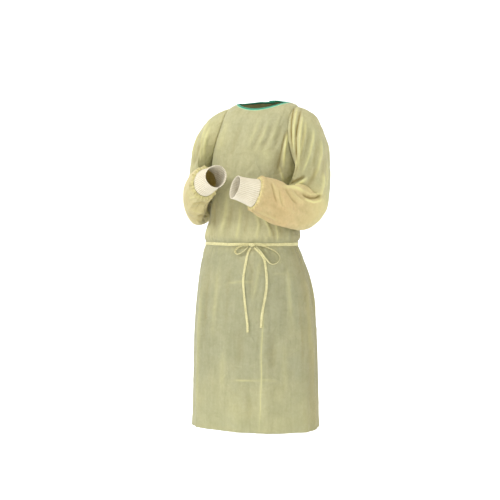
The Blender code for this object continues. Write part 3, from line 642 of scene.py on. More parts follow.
# ---- the surface of the sleeves -------------------------------------------------
def sleeve_point(side, folds, place, around):
    rows = smooth_rows(STATION_ROWS, place)
    inner, outer = rows[..., 0:3], rows[..., 3:6]
    across = (outer - inner) * 0.5
    flat = unit(across)
    fore = rows[..., 7:10]
    fore = unit(fore - flat * np.sum(fore * flat, -1, keepdims=True))
    turned = np.radians(around)[..., None]
    share = place / (len(STATION_ROWS) - 1)
    grow = np.zeros(np.broadcast(place, around).shape)
    for fold in folds:
        reach = (share - fold.along) / fold.length
        hill = bump(turn_apart(around, fold.around + fold.slant * reach), fold.width)
        grow += fold.height * bump(share - fold.along, fold.length) * hill
    gather = ease((share - GATHER_START) / (GATHER_FULL - GATHER_START))
    gather = gather * (1.0 - ease((share - GATHER_FADE) / (1.0 - GATHER_FADE)))
    for small in WRIST_GATHERS:
        grow += gather * small.height * np.cos(np.radians(around) * small.waves + small.turn)
    lean = rows[..., 10:11] * np.maximum(np.sin(turned), 0.0) ** 4
    point = (inner + outer) * 0.5 + fore * np.sin(turned) * rows[..., 6:7] - across * np.cos(turned)
    point = point - flat * lean + (fore * np.sin(turned) - flat * np.cos(turned)) * grow[..., None]
    point[..., 0] *= side
    point += sway(point[..., 2])
    shift = ease((share - WRIST_SHIFT_START) / (WRIST_SHIFT_FULL - WRIST_SHIFT_START))
    return point + np.array(WRIST_SHIFT[side]) * shift[..., None]


def whole_sleeve_point(side, folds, place, around):
    """The sleeve with its first part drawn in to the armhole's edge."""
    free = 1.0 - (1.0 - np.minimum(place / 0.8, 1.0)) ** 2
    edge = armhole_point(side, around)
    return mix(edge, sleeve_point(side, folds, place, around), free[..., None])


# ---- creases ----------------------------------------------------------------------
def camera_frame():
    turned = math.radians(VIEW_DEGREES)
    out = VIEW_TARGET_OUT * math.cos(turned)
    target = np.array((out, out * math.tan(turned), VIEW_TARGET_HEIGHT))
    back = (VIEW_DISTANCE * math.sin(turned), -VIEW_DISTANCE * math.cos(turned), VIEW_RISE)
    place = target + np.array(back)
    ahead = unit(target - place)
    right = unit(np.cross(ahead, (0.0, 0.0, 1.0)))
    return place, ahead, right, np.cross(right, ahead)


def path_distance(spots, path):
    """Distance to a path, and the share of its length to its nearer end."""
    path = np.array(path, float)
    lengths = np.linalg.norm(np.diff(path, axis=0), axis=1)
    before = np.concatenate([[0.0], np.cumsum(lengths)])
    best = np.full(spots.shape[:-1], 1e9)
    along = np.zeros(spots.shape[:-1])
    for index, length in enumerate(lengths):
        way = (path[index + 1] - path[index]) / length
        run = np.clip((spots - path[index]) @ way, 0.0, length)
        apart = np.linalg.norm(spots - path[index] - run[..., None] * way, axis=-1)
        nearer = apart < best
        best = np.where(nearer, apart, best)
        along = np.where(nearer, before[index] + run, along)
    share = along / before[-1]
    return best, np.minimum(share, 1.0 - share)


def photo_creases(points, normals, creases):
    """Heights of creases that were placed on the photograph, and their tones: painted highlight and painted
    shade.
    """
    place, ahead, right, upward = camera_frame()
    seen = points - place
    depth = seen @ ahead
    spots = np.stack([
        PHOTO_SIZE / 2 + FOCAL_PIXELS * (seen @ right) / depth,
        PHOTO_SIZE / 2 - FOCAL_PIXELS * (seen @ upward) / depth,
    ], -1)
    facing = ease(-np.sum(unit(seen) * normals, -1) / 0.35)
    height = np.zeros(depth.shape)
    pale = np.zeros(depth.shape)
    deep = np.zeros(depth.shape)
    for crease in creases:
        apart, to_end = path_distance(spots, crease.path)
        taper = SHARP_TAPER if crease.width < SHARP_WIDTH else SOFT_TAPER
        line = np.exp(-(apart * depth / FOCAL_PIXELS / crease.width) ** 2)
        line = line * ease(to_end / taper) * facing
        height += crease.height * line
        # pale gathers the painted highlight of positive tones, deep the painted shade of negative ones.
        pale = np.maximum(pale, crease.tone * line)
        deep = np.maximum(deep, -crease.tone * line)
    return height, pale, deep


def hidden_folds(across, along, folds, to_metres):
    """Heights of folds given by (angle, height) places; to_metres scales both."""
    height = np.zeros(across.shape)
    spots = np.stack([across * to_metres[0], along * to_metres[1]], -1)
    for fold in folds:
        path = (
            (fold.first_angle * to_metres[0], fold.first_height * to_metres[1]),
            (fold.last_angle * to_metres[0], fold.last_height * to_metres[1]),
        )
        apart, to_end = path_distance(spots, path)
        height += HIDDEN_RISE * fold.height * np.exp(-(apart / fold.width) ** 2) * ease(to_end / SOFT_TAPER)
    return height


def belt_gathers(angle, height):
    """Small pleats that the belt draws in, above and below it."""
    random = np.random.default_rng(BELT_SEED)
    total = np.zeros(angle.shape)
    off = height - BELT_HEIGHT
    clear = ease((np.abs(off) - BELT_CLEAR) / BELT_FADE)
    for index in range(BELT_GATHERS):
        middle = 360.0 * (index + random.uniform(-0.35, 0.35)) / BELT_GATHERS
        width = random.uniform(2.6, 4.6)
        rise = random.uniform(0.0010, 0.0032)
        above, below = random.uniform(0.03, 0.09), random.uniform(0.05, 0.15)
        lean_above, lean_below = random.uniform(-40, 40), random.uniform(-22, 22)
        reach = np.where(off > 0.0, above, below)
        lean = np.where(off > 0.0, lean_above, lean_below)
        fade = 1.0 - ease(np.abs(off) / reach)
        apart = turn_apart(angle, middle + lean * np.abs(off))
        total += rise * fade * bump(apart, width * (1.0 + np.abs(off) * 6.0))
    return total * clear


def soft_crumple(across, along, count, height, seed):
    """Faint short creases that unfolded cloth keeps, scattered over a piece."""
    random = np.random.default_rng(seed)
    low = np.array((across.min(), along.min()))
    high = np.array((across.max(), along.max()))
    spots = np.stack([across, along], -1)
    total = np.zeros(across.shape)
    for _ in range(count):
        middle = low + (high - low) * random.uniform(0.0, 1.0, 2)
        turned = random.uniform(0.0, math.pi)
        half = random.uniform(0.012, 0.045)
        way = np.array((math.cos(turned), math.sin(turned)))
        off = spots - middle
        run = off @ way
        apart = off @ np.array((-way[1], way[0]))
        width = random.uniform(0.0026, 0.0060)
        rise = height * random.uniform(-1.0, 1.0)
        total += rise * np.exp(-(apart / width) ** 2) * np.exp(-(run / half) ** 2)
    return total


def grid_normals(points, closed, outward):
    """Normals of a grid of points; outward turns them if they point in."""
    if closed:
        around = np.roll(points, -1, axis=1) - np.roll(points, 1, axis=1)
    else:
        around = np.gradient(points, axis=1)
    return unit(np.cross(around, np.gradient(points, axis=0))) * outward


def edge_distance(points, edge):
    """How far each point is from the nearest point of an edge."""
    flat = points.reshape(-1, 3)
    best = np.full(len(flat), 1e9)
    for spot in edge.reshape(-1, 3):
        best = np.minimum(best, np.sum((flat - spot) ** 2, -1))
    return np.sqrt(best).reshape(points.shape[:-1])


def arc_map(points, closed):
    """Flat coordinates of a grid, in metres: along its rows and up its middle."""
    steps = np.linalg.norm(np.diff(points, axis=1), axis=-1)
    run = np.concatenate([np.zeros((len(points), 1)), np.cumsum(steps, axis=1)], axis=1)
    if not closed:
        run = run - run[:, run.shape[1] // 2][:, None]
    middle = points[:, points.shape[1] // 2]
    rise = np.concatenate([[0.0], np.cumsum(np.linalg.norm(np.diff(middle, axis=0), axis=-1))])
    return run, np.broadcast_to(rise[:, None], run.shape)


# ---- making pieces ------------------------------------------------------------------
def deselect_all():
    for shown in bpy.context.selected_objects:
        shown.select_set(False)


def link_piece(name, mesh, finish):
    mesh.materials.append(finish)
    piece = bpy.data.objects.new(name, mesh)
    bpy.context.scene.collection.objects.link(piece)
    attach(piece, "root")
    return piece


def grid_quads(rows, columns, closed):
    last = columns if closed else columns - 1
    row, column = np.meshgrid(np.arange(rows - 1), np.arange(last), indexing="ij")
    beside = (column + 1) % columns
    low, high = row * columns, (row + 1) * columns
    return np.stack([low + column, low + beside, high + beside, high + column], -1).reshape(-1, 4)


def mesh_of(name, points, faces):
    mesh = bpy.data.meshes.new(name)
    mesh.from_pydata(points.reshape(-1, 3).tolist(), [], faces)
    return mesh


def lay_map(mesh, across, along, girth=None):
    """Stores flat coordinates as the piece's own map; girth closes a tube's."""
    flat = np.stack([across.reshape(-1), along.reshape(-1)], -1)
    corners = np.zeros(len(mesh.loops), dtype=np.int32)
    mesh.loops.foreach_get("vertex_index", corners)
    spots = flat[corners]
    if girth is not None:
        columns = across.shape[1]
        quad = np.arange(len(corners)) // 4
        closing = (quad % columns == columns - 1) & (corners % columns == 0) & (quad < columns * len(across))
        spots[closing, 0] += girth[np.minimum(corners[closing] // columns, len(girth) - 1)]
    cloth_map = mesh.uv_layers.new(name="cloth_map")
    cloth_map.data.foreach_set("uv", spots.reshape(-1).astype(np.float32))


def lay_tone(mesh, warmth, pale, deep):
    """Stores how warm each point is, partly painted light; how pale, mostly painted highlight and some wear;
    and its painted shade.
    """
    tone = mesh.attributes.new("tone", "FLOAT_COLOR", "POINT")
    values = np.stack([warmth, pale, deep, np.ones(warmth.shape)], -1)
    tone.data.foreach_set("color", values.reshape(-1).astype(np.float32))


def apply_modifiers(piece):
    deselect_all()
    piece.select_set(True)
    bpy.context.view_layer.objects.active = piece
    for modifier in list(piece.modifiers):
        bpy.ops.object.modifier_apply(modifier=modifier.name)
    piece.select_set(False)


def cloth_piece(name, points, closed, turned, maps, tones, finish):
    """An open sheet through a grid of points, given the cloth's thickness."""
    faces = grid_quads(points.shape[0], points.shape[1], closed)
    if turned:
        faces = faces[:, ::-1]
    mesh = mesh_of(name, points, faces.tolist())
    girth = None
    if closed:
        girth = maps[0][:, -1] + np.linalg.norm(points[:, -1] - points[:, 0], axis=-1)
    lay_map(mesh, *maps, girth)
    lay_tone(mesh, *tones)
    mesh.shade_smooth()
    piece = link_piece(name, mesh, finish)
    wall = piece.modifiers.new("cloth thickness", "SOLIDIFY")
    wall.thickness = CLOTH_WALL
    wall.offset = 0.0
    apply_modifiers(piece)
    return piece


def stitch_row(name, line, outward, finish, closed=False):
    """Small separate stitches that lie along a line on the cloth."""
    if closed:
        line = np.concatenate([line, line[:1]])
        outward = np.concatenate([outward, outward[:1]])
    run = np.concatenate([[0.0], np.cumsum(np.linalg.norm(np.diff(line, axis=0), axis=-1))])
    count = int(run[-1] / STITCH_PITCH)
    middles = (np.arange(count) + 0.5) * run[-1] / count
    def at(values, places):
        return np.stack([np.interp(places, run, values[:, axis]) for axis in range(3)], -1)
    out = unit(at(outward, middles))
    ahead = unit(at(line, middles + NUDGE) - at(line, middles - NUDGE))
    beside = np.cross(ahead, out)
    spot = at(line, middles) + out * (0.5 * CLOTH_WALL + 0.5 * STITCH_RADIUS)
    half = 0.5 * STITCH_LENGTH
    corners = (
        spot - ahead * half - out * STITCH_RADIUS, spot + beside * STITCH_RADIUS, spot + out * STITCH_RADIUS,
        spot - beside * STITCH_RADIUS, spot - out * STITCH_RADIUS, spot + ahead * half - out * STITCH_RADIUS,
    )
    points = np.stack(corners, 1)
    shape = ((0, 2, 1), (0, 3, 2), (0, 4, 3), (0, 1, 4), (5, 1, 2), (5, 2, 3), (5, 3, 4), (5, 4, 1))
    faces = [[6 * index + corner for corner in face] for index in range(count) for face in shape]
    mesh = mesh_of(name, points, faces)
    mesh.shade_smooth()
    return link_piece(name, mesh, finish)


def column_stitches(name, points, column):
    """Stitches beside a panel's edge, from the hem to the neck."""
    normals = grid_normals(points, False, 1.0)
    return stitch_row(name, points[2:-6, column], normals[2:-6, column], pale_thread)


def loft_piece(name, rings, finish, across=None):
    """A closed solid through rings of points, with flat ends."""
    count = rings.shape[1]
    faces = grid_quads(rings.shape[0], count, True).tolist()
    faces.append(list(range(count - 1, -1, -1)))
    faces.append(list(range((len(rings) - 1) * count, len(rings) * count)))
    mesh = mesh_of(name, rings, faces)
    run = np.linalg.norm(np.diff(rings.mean(axis=1), axis=0), axis=-1)
    along = np.concatenate([[0.0], np.cumsum(run)])[:, None] + np.zeros((1, count))
    if across is None:
        steps = np.linalg.norm(np.diff(rings, axis=1), axis=-1)
        across = np.concatenate([np.zeros((len(rings), 1)), np.cumsum(steps, axis=1)], axis=1)
    lay_map(mesh, across, along)
    mesh.shade_smooth()
    mesh.set_sharp_from_angle(angle=math.radians(60.0))
    return link_piece(name, mesh, finish)


# ---- finishes --------------------------------------------------------------------------
class Nodes:
    """A short way to lay out a finish's nodes."""

    def __init__(self, name):
        self.finish = bpy.data.materials.new(name)
        self.finish.use_nodes = True
        self.tree = self.finish.node_tree
        self.shader = self.tree.nodes["Principled BSDF"]
        self.out = self.tree.nodes["Material Output"]

    def add(self, kind, settings=(), **inputs):
        node = self.tree.nodes.new("ShaderNode" + kind)
        for key, value in dict(settings).items():
            setattr(node, key, value)
        for key, value in inputs.items():
            self.join(value, node.inputs[key.replace("_", " ")])
        return node

    def join(self, value, socket):
        if isinstance(value, bpy.types.NodeSocket):
            self.tree.links.new(value, socket)
        else:
            socket.default_value = value

    def math(self, operation, first, second):
        node = self.tree.nodes.new("ShaderNodeMath")
        node.operation = operation
        self.join(first, node.inputs[0])
        self.join(second, node.inputs[1])
        return node.outputs[0]

    def blend(self, share, first, second, kind="MIX"):
        node = self.tree.nodes.new("ShaderNodeMix")
        node.data_type = "RGBA"
        node.blend_type = kind
        self.join(share, node.inputs[0])
        self.join(first, node.inputs[6])
        self.join(second, node.inputs[7])
        return node.outputs[2]

    def spread(self, value, low, high, new_low, new_high):
        node = self.tree.nodes.new("ShaderNodeMapRange")
        self.join(value, node.inputs["Value"])
        node.inputs["From Min"].default_value = low
        node.inputs["From Max"].default_value = high
        node.inputs["To Min"].default_value = new_low
        node.inputs["To Max"].default_value = new_high
        return node.outputs["Result"]

    def relief(self, height, strength, distance, normal=None):
        node = self.add("Bump", Height=height, Strength=strength, Distance=distance)
        if normal is not None:
            self.join(normal, node.inputs["Normal"])
        return node.outputs["Normal"]

    def place(self):
        return self.add("TexCoord").outputs["Object"]

    def flat(self):
        return self.add("UVMap", {"uv_map": "cloth_map"}).outputs["UV"]

    def scaled(self, place, scale, turn=0.0):
        return self.add("Mapping", Vector=place, Rotation=(0.0, 0.0, turn), Scale=scale).outputs["Vector"]

    def noise(self, place, scale, detail, roughness=0.5, distortion=0.0):
        node = self.add("TexNoise", Vector=place, Scale=scale, Detail=detail, Roughness=roughness)
        node.inputs["Distortion"].default_value = distortion
        return node.outputs["Fac"]

    def wave(self, direction, place, scale, **inputs):
        settings = {"wave_type": "BANDS", "bands_direction": direction}
        return self.add("TexWave", settings, Vector=place, Scale=scale, **inputs).outputs["Fac"]

    def cells(self, kind, place, scale, randomness):
        settings = {"feature": kind}
        node = self.add("TexVoronoi", settings, Vector=place, Scale=scale, Randomness=randomness)
        return node.outputs["Distance"]

    def dress(self, colour, normal, roughness, sheen=0.0, specular=0.5):
        """Joins the finish's colour, relief, roughness and two soft shines."""
        self.join(colour, self.shader.inputs["Base Color"])
        self.join(normal, self.shader.inputs["Normal"])
        self.join(roughness, self.shader.inputs["Roughness"])
        self.shader.inputs["Sheen Weight"].default_value = sheen
        self.shader.inputs["Specular IOR Level"].default_value = specular
        return self.finish


def nonwoven_finish(name, cool, warm, deep, glow):
    """Spunbond nonwoven: matt, cloudy with thick and thin fibre, point bonded."""
    look = Nodes(name)
    place = look.place()
    flat = look.flat()
    tone = look.add("Attribute", {"attribute_name": "tone"}).outputs["Color"]
    parts = look.add("SeparateColor", Color=tone)
    cloud = look.noise(place, 9.0, 3.0, 0.55)
    patches = look.noise(place, 26.0, 4.0, 0.5)
    mottle = look.noise(place, 120.0, 5.0, 0.62)
    folded = look.noise(place, 17.0, 2.0, 0.45, 0.5)
    crinkle = look.math("ABSOLUTE", look.math("SUBTRACT", folded, 0.5), 0.0)
    grain = look.noise(place, 520.0, 3.0, 0.6)
    stretched = look.scaled(flat, (900.0, 90.0, 1.0))
    fibre = look.noise(stretched, 1.0, 4.0, 0.7, 1.6)
    turned = look.scaled(flat, (110.0, 800.0, 1.0), 0.9)
    cross = look.noise(turned, 1.0, 4.0, 0.7, 1.4)
    dots = look.cells("F1", flat, 560.0, 0.12)
    dent = look.spread(dots, 0.16, 0.34, 0.0, 1.0)
    # The tone's red, partly painted light, plus random cloudy tone, blends the cool colour towards the warm
    # one.
    warmth = look.math("ADD", parts.outputs["Red"], look.spread(cloud, 0.3, 0.7, -0.16, 0.16))
    colour = look.blend(warmth, cool, warm)
    thin = look.spread(mottle, 0.32, 0.68, 0.945, 1.04)
    fine = look.spread(grain, 0.3, 0.7, 0.98, 1.02)
    web = look.spread(look.math("ADD", fibre, cross), 0.7, 1.3, 0.975, 1.025)
    patch = look.spread(patches, 0.35, 0.65, 0.95, 1.035)
    upright = look.scaled(place, (75.0, 75.0, 8.0))
    streaks = look.noise(upright, 1.0, 4.0, 0.6, 0.6)
    patch = look.math("MULTIPLY", patch, look.spread(streaks, 0.35, 0.65, 0.955, 1.045))
    light = look.math("MULTIPLY", look.math("MULTIPLY", thin, fine), look.math("MULTIPLY", web, patch))
    warmer = look.math("POWER", light, 1.35)
    grey = look.add("CombineColor", Red=light, Green=light, Blue=warmer).outputs["Color"]
    colour = look.blend(1.0, colour, grey, "MULTIPLY")
    # The tone's green blends in the painted highlight (with some wear) and its blue the painted shade.
    colour = look.blend(look.math("MULTIPLY", parts.outputs["Green"], 0.92), colour, PAINTED_HIGHLIGHT_AND_WEAR)
    colour = look.blend(parts.outputs["Blue"], colour, deep)
    web_relief = look.math("ADD", look.math("MULTIPLY", fibre, 0.5), look.math("MULTIPLY", cross, 0.5))
    normal = look.relief(look.spread(crinkle, 0.0, 0.10, 1.0, 0.0), 0.42, 0.0032)
    normal = look.relief(streaks, 0.30, 0.0016, normal)
    normal = look.relief(mottle, 0.24, 0.0010, normal)
    normal = look.relief(web_relief, 0.22, 0.0005, normal)
    normal = look.relief(dent, 0.18, 0.0002, normal)
    look.dress(colour, normal, look.spread(mottle, 0.3, 0.7, 0.82, 0.66), 0.12, 0.25)
    through = look.add("BsdfTranslucent", Color=colour, Normal=normal)
    both = look.add("MixShader")
    both.inputs[0].default_value = glow
    look.join(look.shader.outputs[0], both.inputs[1])
    look.join(through.outputs[0], both.inputs[2])
    look.join(both.outputs[0], look.out.inputs["Surface"])
    return look.finish


def tape_finish(name, colour, bright):
    """Folded nonwoven tape: matt and bright, with crumpled edges."""
    look = Nodes(name)
    place = look.place()
    mottle = look.noise(place, 210.0, 5.0, 0.6)
    grain = look.noise(place, 900.0, 3.0, 0.6)
    flat = look.flat()
    ridges = look.scaled(flat, (150.0, 38.0, 1.0))
    crumple = look.noise(ridges, 1.0, 4.0, 0.65, 0.8)
    # The tape is drawn lighter on its raised crumples, a painted highlight, and varies at random with the
    # mottle.
    share = look.spread(look.math("ADD", mottle, crumple), 0.75, 1.25, 0.0, 1.0)
    normal = look.relief(crumple, 0.5, 0.0016)
    normal = look.relief(mottle, 0.3, 0.0006, normal)
    normal = look.relief(grain, 0.2, 0.0002, normal)
    rough = look.spread(mottle, 0.3, 0.7, 0.78, 0.62)
    return look.dress(look.blend(share, colour, bright), normal, rough, 0.15, 0.25)


def knit_finish(name, colour, shade):
    """Ribbed ivory knit: rows of small stitches along soft ribs, with painted shade in the rib valleys and
    between the stitches.
    """
    look = Nodes(name)
    flat = look.flat()
    rows = look.wave("Y", flat, 230.0, Distortion=1.2, Detail=2.0, Detail_Scale=1.6)
    stitches = look.scaled(flat, (520.0, 420.0, 1.0))
    loops = look.cells("SMOOTH_F1", stitches, 1.0, 0.35)
    place = look.place()
    fuzz = look.noise(place, 700.0, 5.0, 0.65)
    cloud = look.noise(place, 45.0, 3.0, 0.5)
    wool = look.math("ADD", look.math("MULTIPLY", rows, 0.35), look.math("MULTIPLY", loops, 0.65))
    ribs = look.wave("X", flat, RIB_SCALE, Distortion=0.25, Phase_Offset=0.5 * math.pi)
    shaded = look.math("ADD", wool, look.math("MULTIPLY", cloud, 0.4))
    # Darker in the rib valleys and between the loops, painted shade, and cloudy at random.
    between = look.math("SUBTRACT", shaded, look.math("MULTIPLY", ribs, 0.60))
    share = look.spread(between, -0.10, 0.75, 0.0, 1.0)
    normal = look.relief(ribs, 0.50, 0.0010)
    normal = look.relief(wool, 0.50, 0.0006, normal)
    normal = look.relief(fuzz, 0.35, 0.0003, normal)
    rough = look.spread(fuzz, 0.3, 0.7, 0.95, 0.85)
    return look.dress(look.blend(share, colour, shade), normal, rough, 0.25, 0.15)


def binding_finish(name, green, dark, mint):
    """Green folded strip, mint along the part of its map nearest the start."""
    look = Nodes(name)
    flat = look.flat()
    up = look.add("SeparateXYZ", Vector=flat).outputs["X"]
    place = look.place()
    mottle = look.noise(place, 260.0, 5.0, 0.6)
    twill = look.wave("DIAGONAL", flat, 420.0, Distortion=0.6)
    share = look.spread(look.math("ADD", mottle, look.math("MULTIPLY", twill, 0.3)), 0.4, 0.95, 0.0, 1.0)
    colour = look.blend(share, dark, green)
    colour = look.blend(look.spread(up, MINT_TOP, MINT_TOP - MINT_FADE, 0.0, 1.0), colour, mint)
    normal = look.relief(mottle, 0.3, 0.0004, look.relief(twill, 0.25, 0.0002))
    return look.dress(colour, normal, look.spread(mottle, 0.3, 0.7, 0.75, 0.6), 0.15, 0.25)


def thread_finish(name, colour, dark):
    look = Nodes(name)
    place = look.place()
    twist = look.noise(place, 1500.0, 2.0)
    shaded = look.blend(look.spread(twist, 0.35, 0.65, 0.0, 1.0), dark, colour)
    return look.dress(shaded, look.relief(twist, 0.4, 0.0002), look.spread(twist, 0.3, 0.7, 0.6, 0.45))


def studio_finish(name, colour):
    look = Nodes(name)
    look.shader.inputs["Base Color"].default_value = colour
    look.shader.inputs["Roughness"].default_value = 0.9
    look.shader.inputs["Specular IOR Level"].default_value = 0.1
    return look.finish


MINT_TOP = 0.0018
MINT_FADE = 0.0010
RIB_SCALE = CUFF_RIBS / (20.0 * CUFF_MEAN_RADIUS)
# The cloth's own cool colours, then lighter warm copies that carry random cloudy tone and painted light.
COOL_BODY = (0.445, 0.437, 0.262, 1.0)
WARM_BODY = (0.680, 0.625, 0.330, 1.0)
COOL_SLEEVE = (0.545, 0.525, 0.290, 1.0)
WARM_SLEEVE = (0.700, 0.535, 0.262, 1.0)
# Colours of the painted shade in folds and of the painted highlight on ridges, which also stands for wear
# along the packing creases.
PAINTED_FOLD_SHADE = (0.30, 0.22, 0.05, 1.0)
PAINTED_HIGHLIGHT_AND_WEAR = (0.90, 0.865, 0.40, 1.0)

body_cloth = nonwoven_finish("pale yellow body nonwoven", COOL_BODY, WARM_BODY, PAINTED_FOLD_SHADE, 0.26)
sleeve_cloth = nonwoven_finish("pale yellow sleeve nonwoven", COOL_SLEEVE, WARM_SLEEVE, PAINTED_FOLD_SHADE, 0.26)
tape_cloth = tape_finish("bright yellow folded tape", (0.52, 0.48, 0.24, 1.0), (0.72, 0.675, 0.36, 1.0))
rib_knit = knit_finish("ivory rib knit", (0.78, 0.73, 0.59, 1.0), (0.58, 0.51, 0.35, 1.0))
green_strip = binding_finish(
    "green binding strip", (0.030, 0.30, 0.17, 1.0), (0.014, 0.19, 0.11, 1.0), (0.34, 0.78, 0.50, 1.0))
pale_thread = thread_finish("pale yellow thread", (0.86, 0.80, 0.48, 1.0), (0.62, 0.56, 0.28, 1.0))
green_thread = thread_finish("green thread", (0.05, 0.40, 0.22, 1.0), (0.02, 0.22, 0.12, 1.0))


# ---- body panels ------------------------------------------------------------------------
ARMHOLES = {side: armhole_point(side, np.linspace(0.0, 360.0, 241)[:-1]) for side in (1, -1)}
BODY_METRES_A_DEGREE = 0.0031


def dress_body(angle, level, layer, crumple):
    """The body's cloth with its creases: its points, their rise and their tones."""
    base = body_point(angle, level, layer)
    normals = grid_normals(base, False, 1.0)
    heights = base[..., 2]
    at_armhole = np.minimum(edge_distance(base, ARMHOLES[1]), edge_distance(base, ARMHOLES[-1]))
    side = np.abs(np.abs(turn_apart(angle, 0.0)) - 90.0) * BODY_METRES_A_DEGREE
    at_seam = np.where(level > 0.0, at_armhole, side)
    at_neck = (1.0 - np.maximum(level, 0.0)) * YOKE_LENGTH
    free = ease(at_armhole / ARMHOLE_FADE) * ease(at_neck / NECK_FADE)
    photo, pale, deep = photo_creases(base, normals, BODY_CREASES)
    behind = hidden_folds(turn_apart(angle, 0.0) % 360.0, heights, BACK_FOLDS, (BODY_METRES_A_DEGREE, 1.0))
    belt_free = ease((np.abs(heights - BELT_HEIGHT) - BELT_CLEAR) / BELT_FADE)
    grow = (photo + behind + crumple * ease(at_seam / CRUMPLE_FADE)) * free * belt_free
    grow += belt_gathers(turn_apart(angle, 0.0), heights) * free
    grow += hem_wave(turn_apart(angle, 0.0), heights)
    grow += seam_pucker(np.sin(heights * 700.0 + angle * 1.3), at_seam)
    pale = np.maximum(pale, 0.12 * ease((-0.86 - heights) / 0.20))
    return base + normals * grow[..., None], grow, pale, deep


def seam_pucker(wave, at_seam):
    """Cloth beside a seam is drawn in, in small waves."""
    small = PUCKER_HEIGHT * wave * (1.0 - ease(at_seam / PUCKER_WIDTH))
    return small - SEAM_PINCH * (1.0 - ease(at_seam / PINCH_WIDTH))


def hem_wave(angle, height):
    """The cut edge rolls in and out a little."""
    turned = np.radians(angle)
    near = 1.0 - ease((height - HEM_HEIGHT) / HEM_WAVE_REACH)
    return near * (0.0012 * np.sin(turned * 23.0) + 0.0008 * np.sin(turned * 41.0 + 1.0))


def body_painted_light(angle, points):
    """Painted light: the cloth is drawn lightest over the belly and the chest, and lighter higher up."""
    apart = np.abs(turn_apart(angle, 0.0))
    heights = points[..., 2]
    above_belt = ease((heights - BELT_HEIGHT) / 0.03)
    belly = 0.42 * above_belt * (1.0 - ease((heights + 0.30) / 0.10)) * (1.0 - ease((apart - 50.0) / 30.0))
    chest = 0.26 * ease((heights + 0.34) / 0.12)
    return 0.07 + np.maximum(belly, chest) + 0.12 * ease((heights + 0.08) / 0.08)


def side_painted_shade(angle, heights):
    """Painted shade: the cloth is drawn darker at the sides, below the sleeves."""
    apart = np.abs(turn_apart(angle, 0.0))
    sides = ease((apart - 58.0) / 26.0) * (1.0 - ease((apart - 122.0) / 34.0))
    return 0.30 * sides * ease((-0.30 - heights) / 0.16)


def fold_shade(grow, depth):
    """Deep folds gather shade."""
    return 0.34 * ease(-grow / depth - 0.20)


def ridge_light(grow):
    """Light comes through the ridges, so they look paler."""
    return 0.20 * ease((grow - 0.0006) / 0.0040)


def make_panel(name, angle, level, layer, seed):
    across, along = arc_map(body_point(angle, level, layer), False)
    crumple = soft_crumple(across, along, *BODY_CRUMPLE, seed)
    points, grow, pale, deep = dress_body(angle, level, layer, crumple)
    # Painted shade in deep folds and at the sides, and painted highlight on the ridges.
    deep = np.maximum(deep, np.maximum(fold_shade(grow, 0.0050), side_painted_shade(angle, points[..., 2])))
    tones = (body_painted_light(angle, points), np.maximum(pale, ridge_light(grow)), deep)
    return cloth_piece(name, points, False, False, (across, along), tones, body_cloth), points


levels, steps = panel_rows()
level_grid = levels[:, None]
front_half = 90.0 - armhole_half_angle(steps, ARMHOLE_FRONT_DEGREES)
front_share = np.linspace(-1.0, 1.0, FRONT_COLUMNS)
front_angles = front_half[:, None] * front_share[None, :]
back_start = 90.0 + armhole_half_angle(steps, ARMHOLE_BACK_DEGREES)
back_end = 180.0 + OVERLAP_DEGREES * 0.5
back_share = np.linspace(0.0, 1.0, BACK_COLUMNS)
back_angles = mix(back_start[:, None], back_end, back_share[None, :])

front_piece, front_points = make_panel("front_cloth", front_angles, level_grid, 0.0, SEEDS["front"])
left_back, left_back_points = make_panel("back_cloth_left", back_angles, level_grid, 1.0, SEEDS["back left"])
right_back, right_back_points = make_panel(
    "back_cloth_right", -back_angles[:, ::-1], level_grid, -1.0, SEEDS["back right"])
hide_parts("front_panel")
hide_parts("back_panel_left")
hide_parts("back_panel_right")
column_stitches("front_seam_stitches_left", front_points, -2)
column_stitches("front_seam_stitches_right", front_points, 1)
column_stitches("back_seam_stitches_left", left_back_points, 2)
column_stitches("back_seam_stitches_right", right_back_points, -3)


# ---- sleeves --------------------------------------------------------------------------------
SLEEVE_METRES_A_DEGREE = 0.0014
SLEEVE_METRES_A_SHARE = 0.52
SLEEVE_DRAWN_START = 0.84
SLEEVE_RIM_START = 0.93
# How much warmer and how much paler each lower sleeve is drawn, as painted light.
LOWER_SLEEVE_WARMTH = {1: 0.80, -1: 0.40}
LOWER_SLEEVE_PALE = {1: 0.0, -1: 0.16}


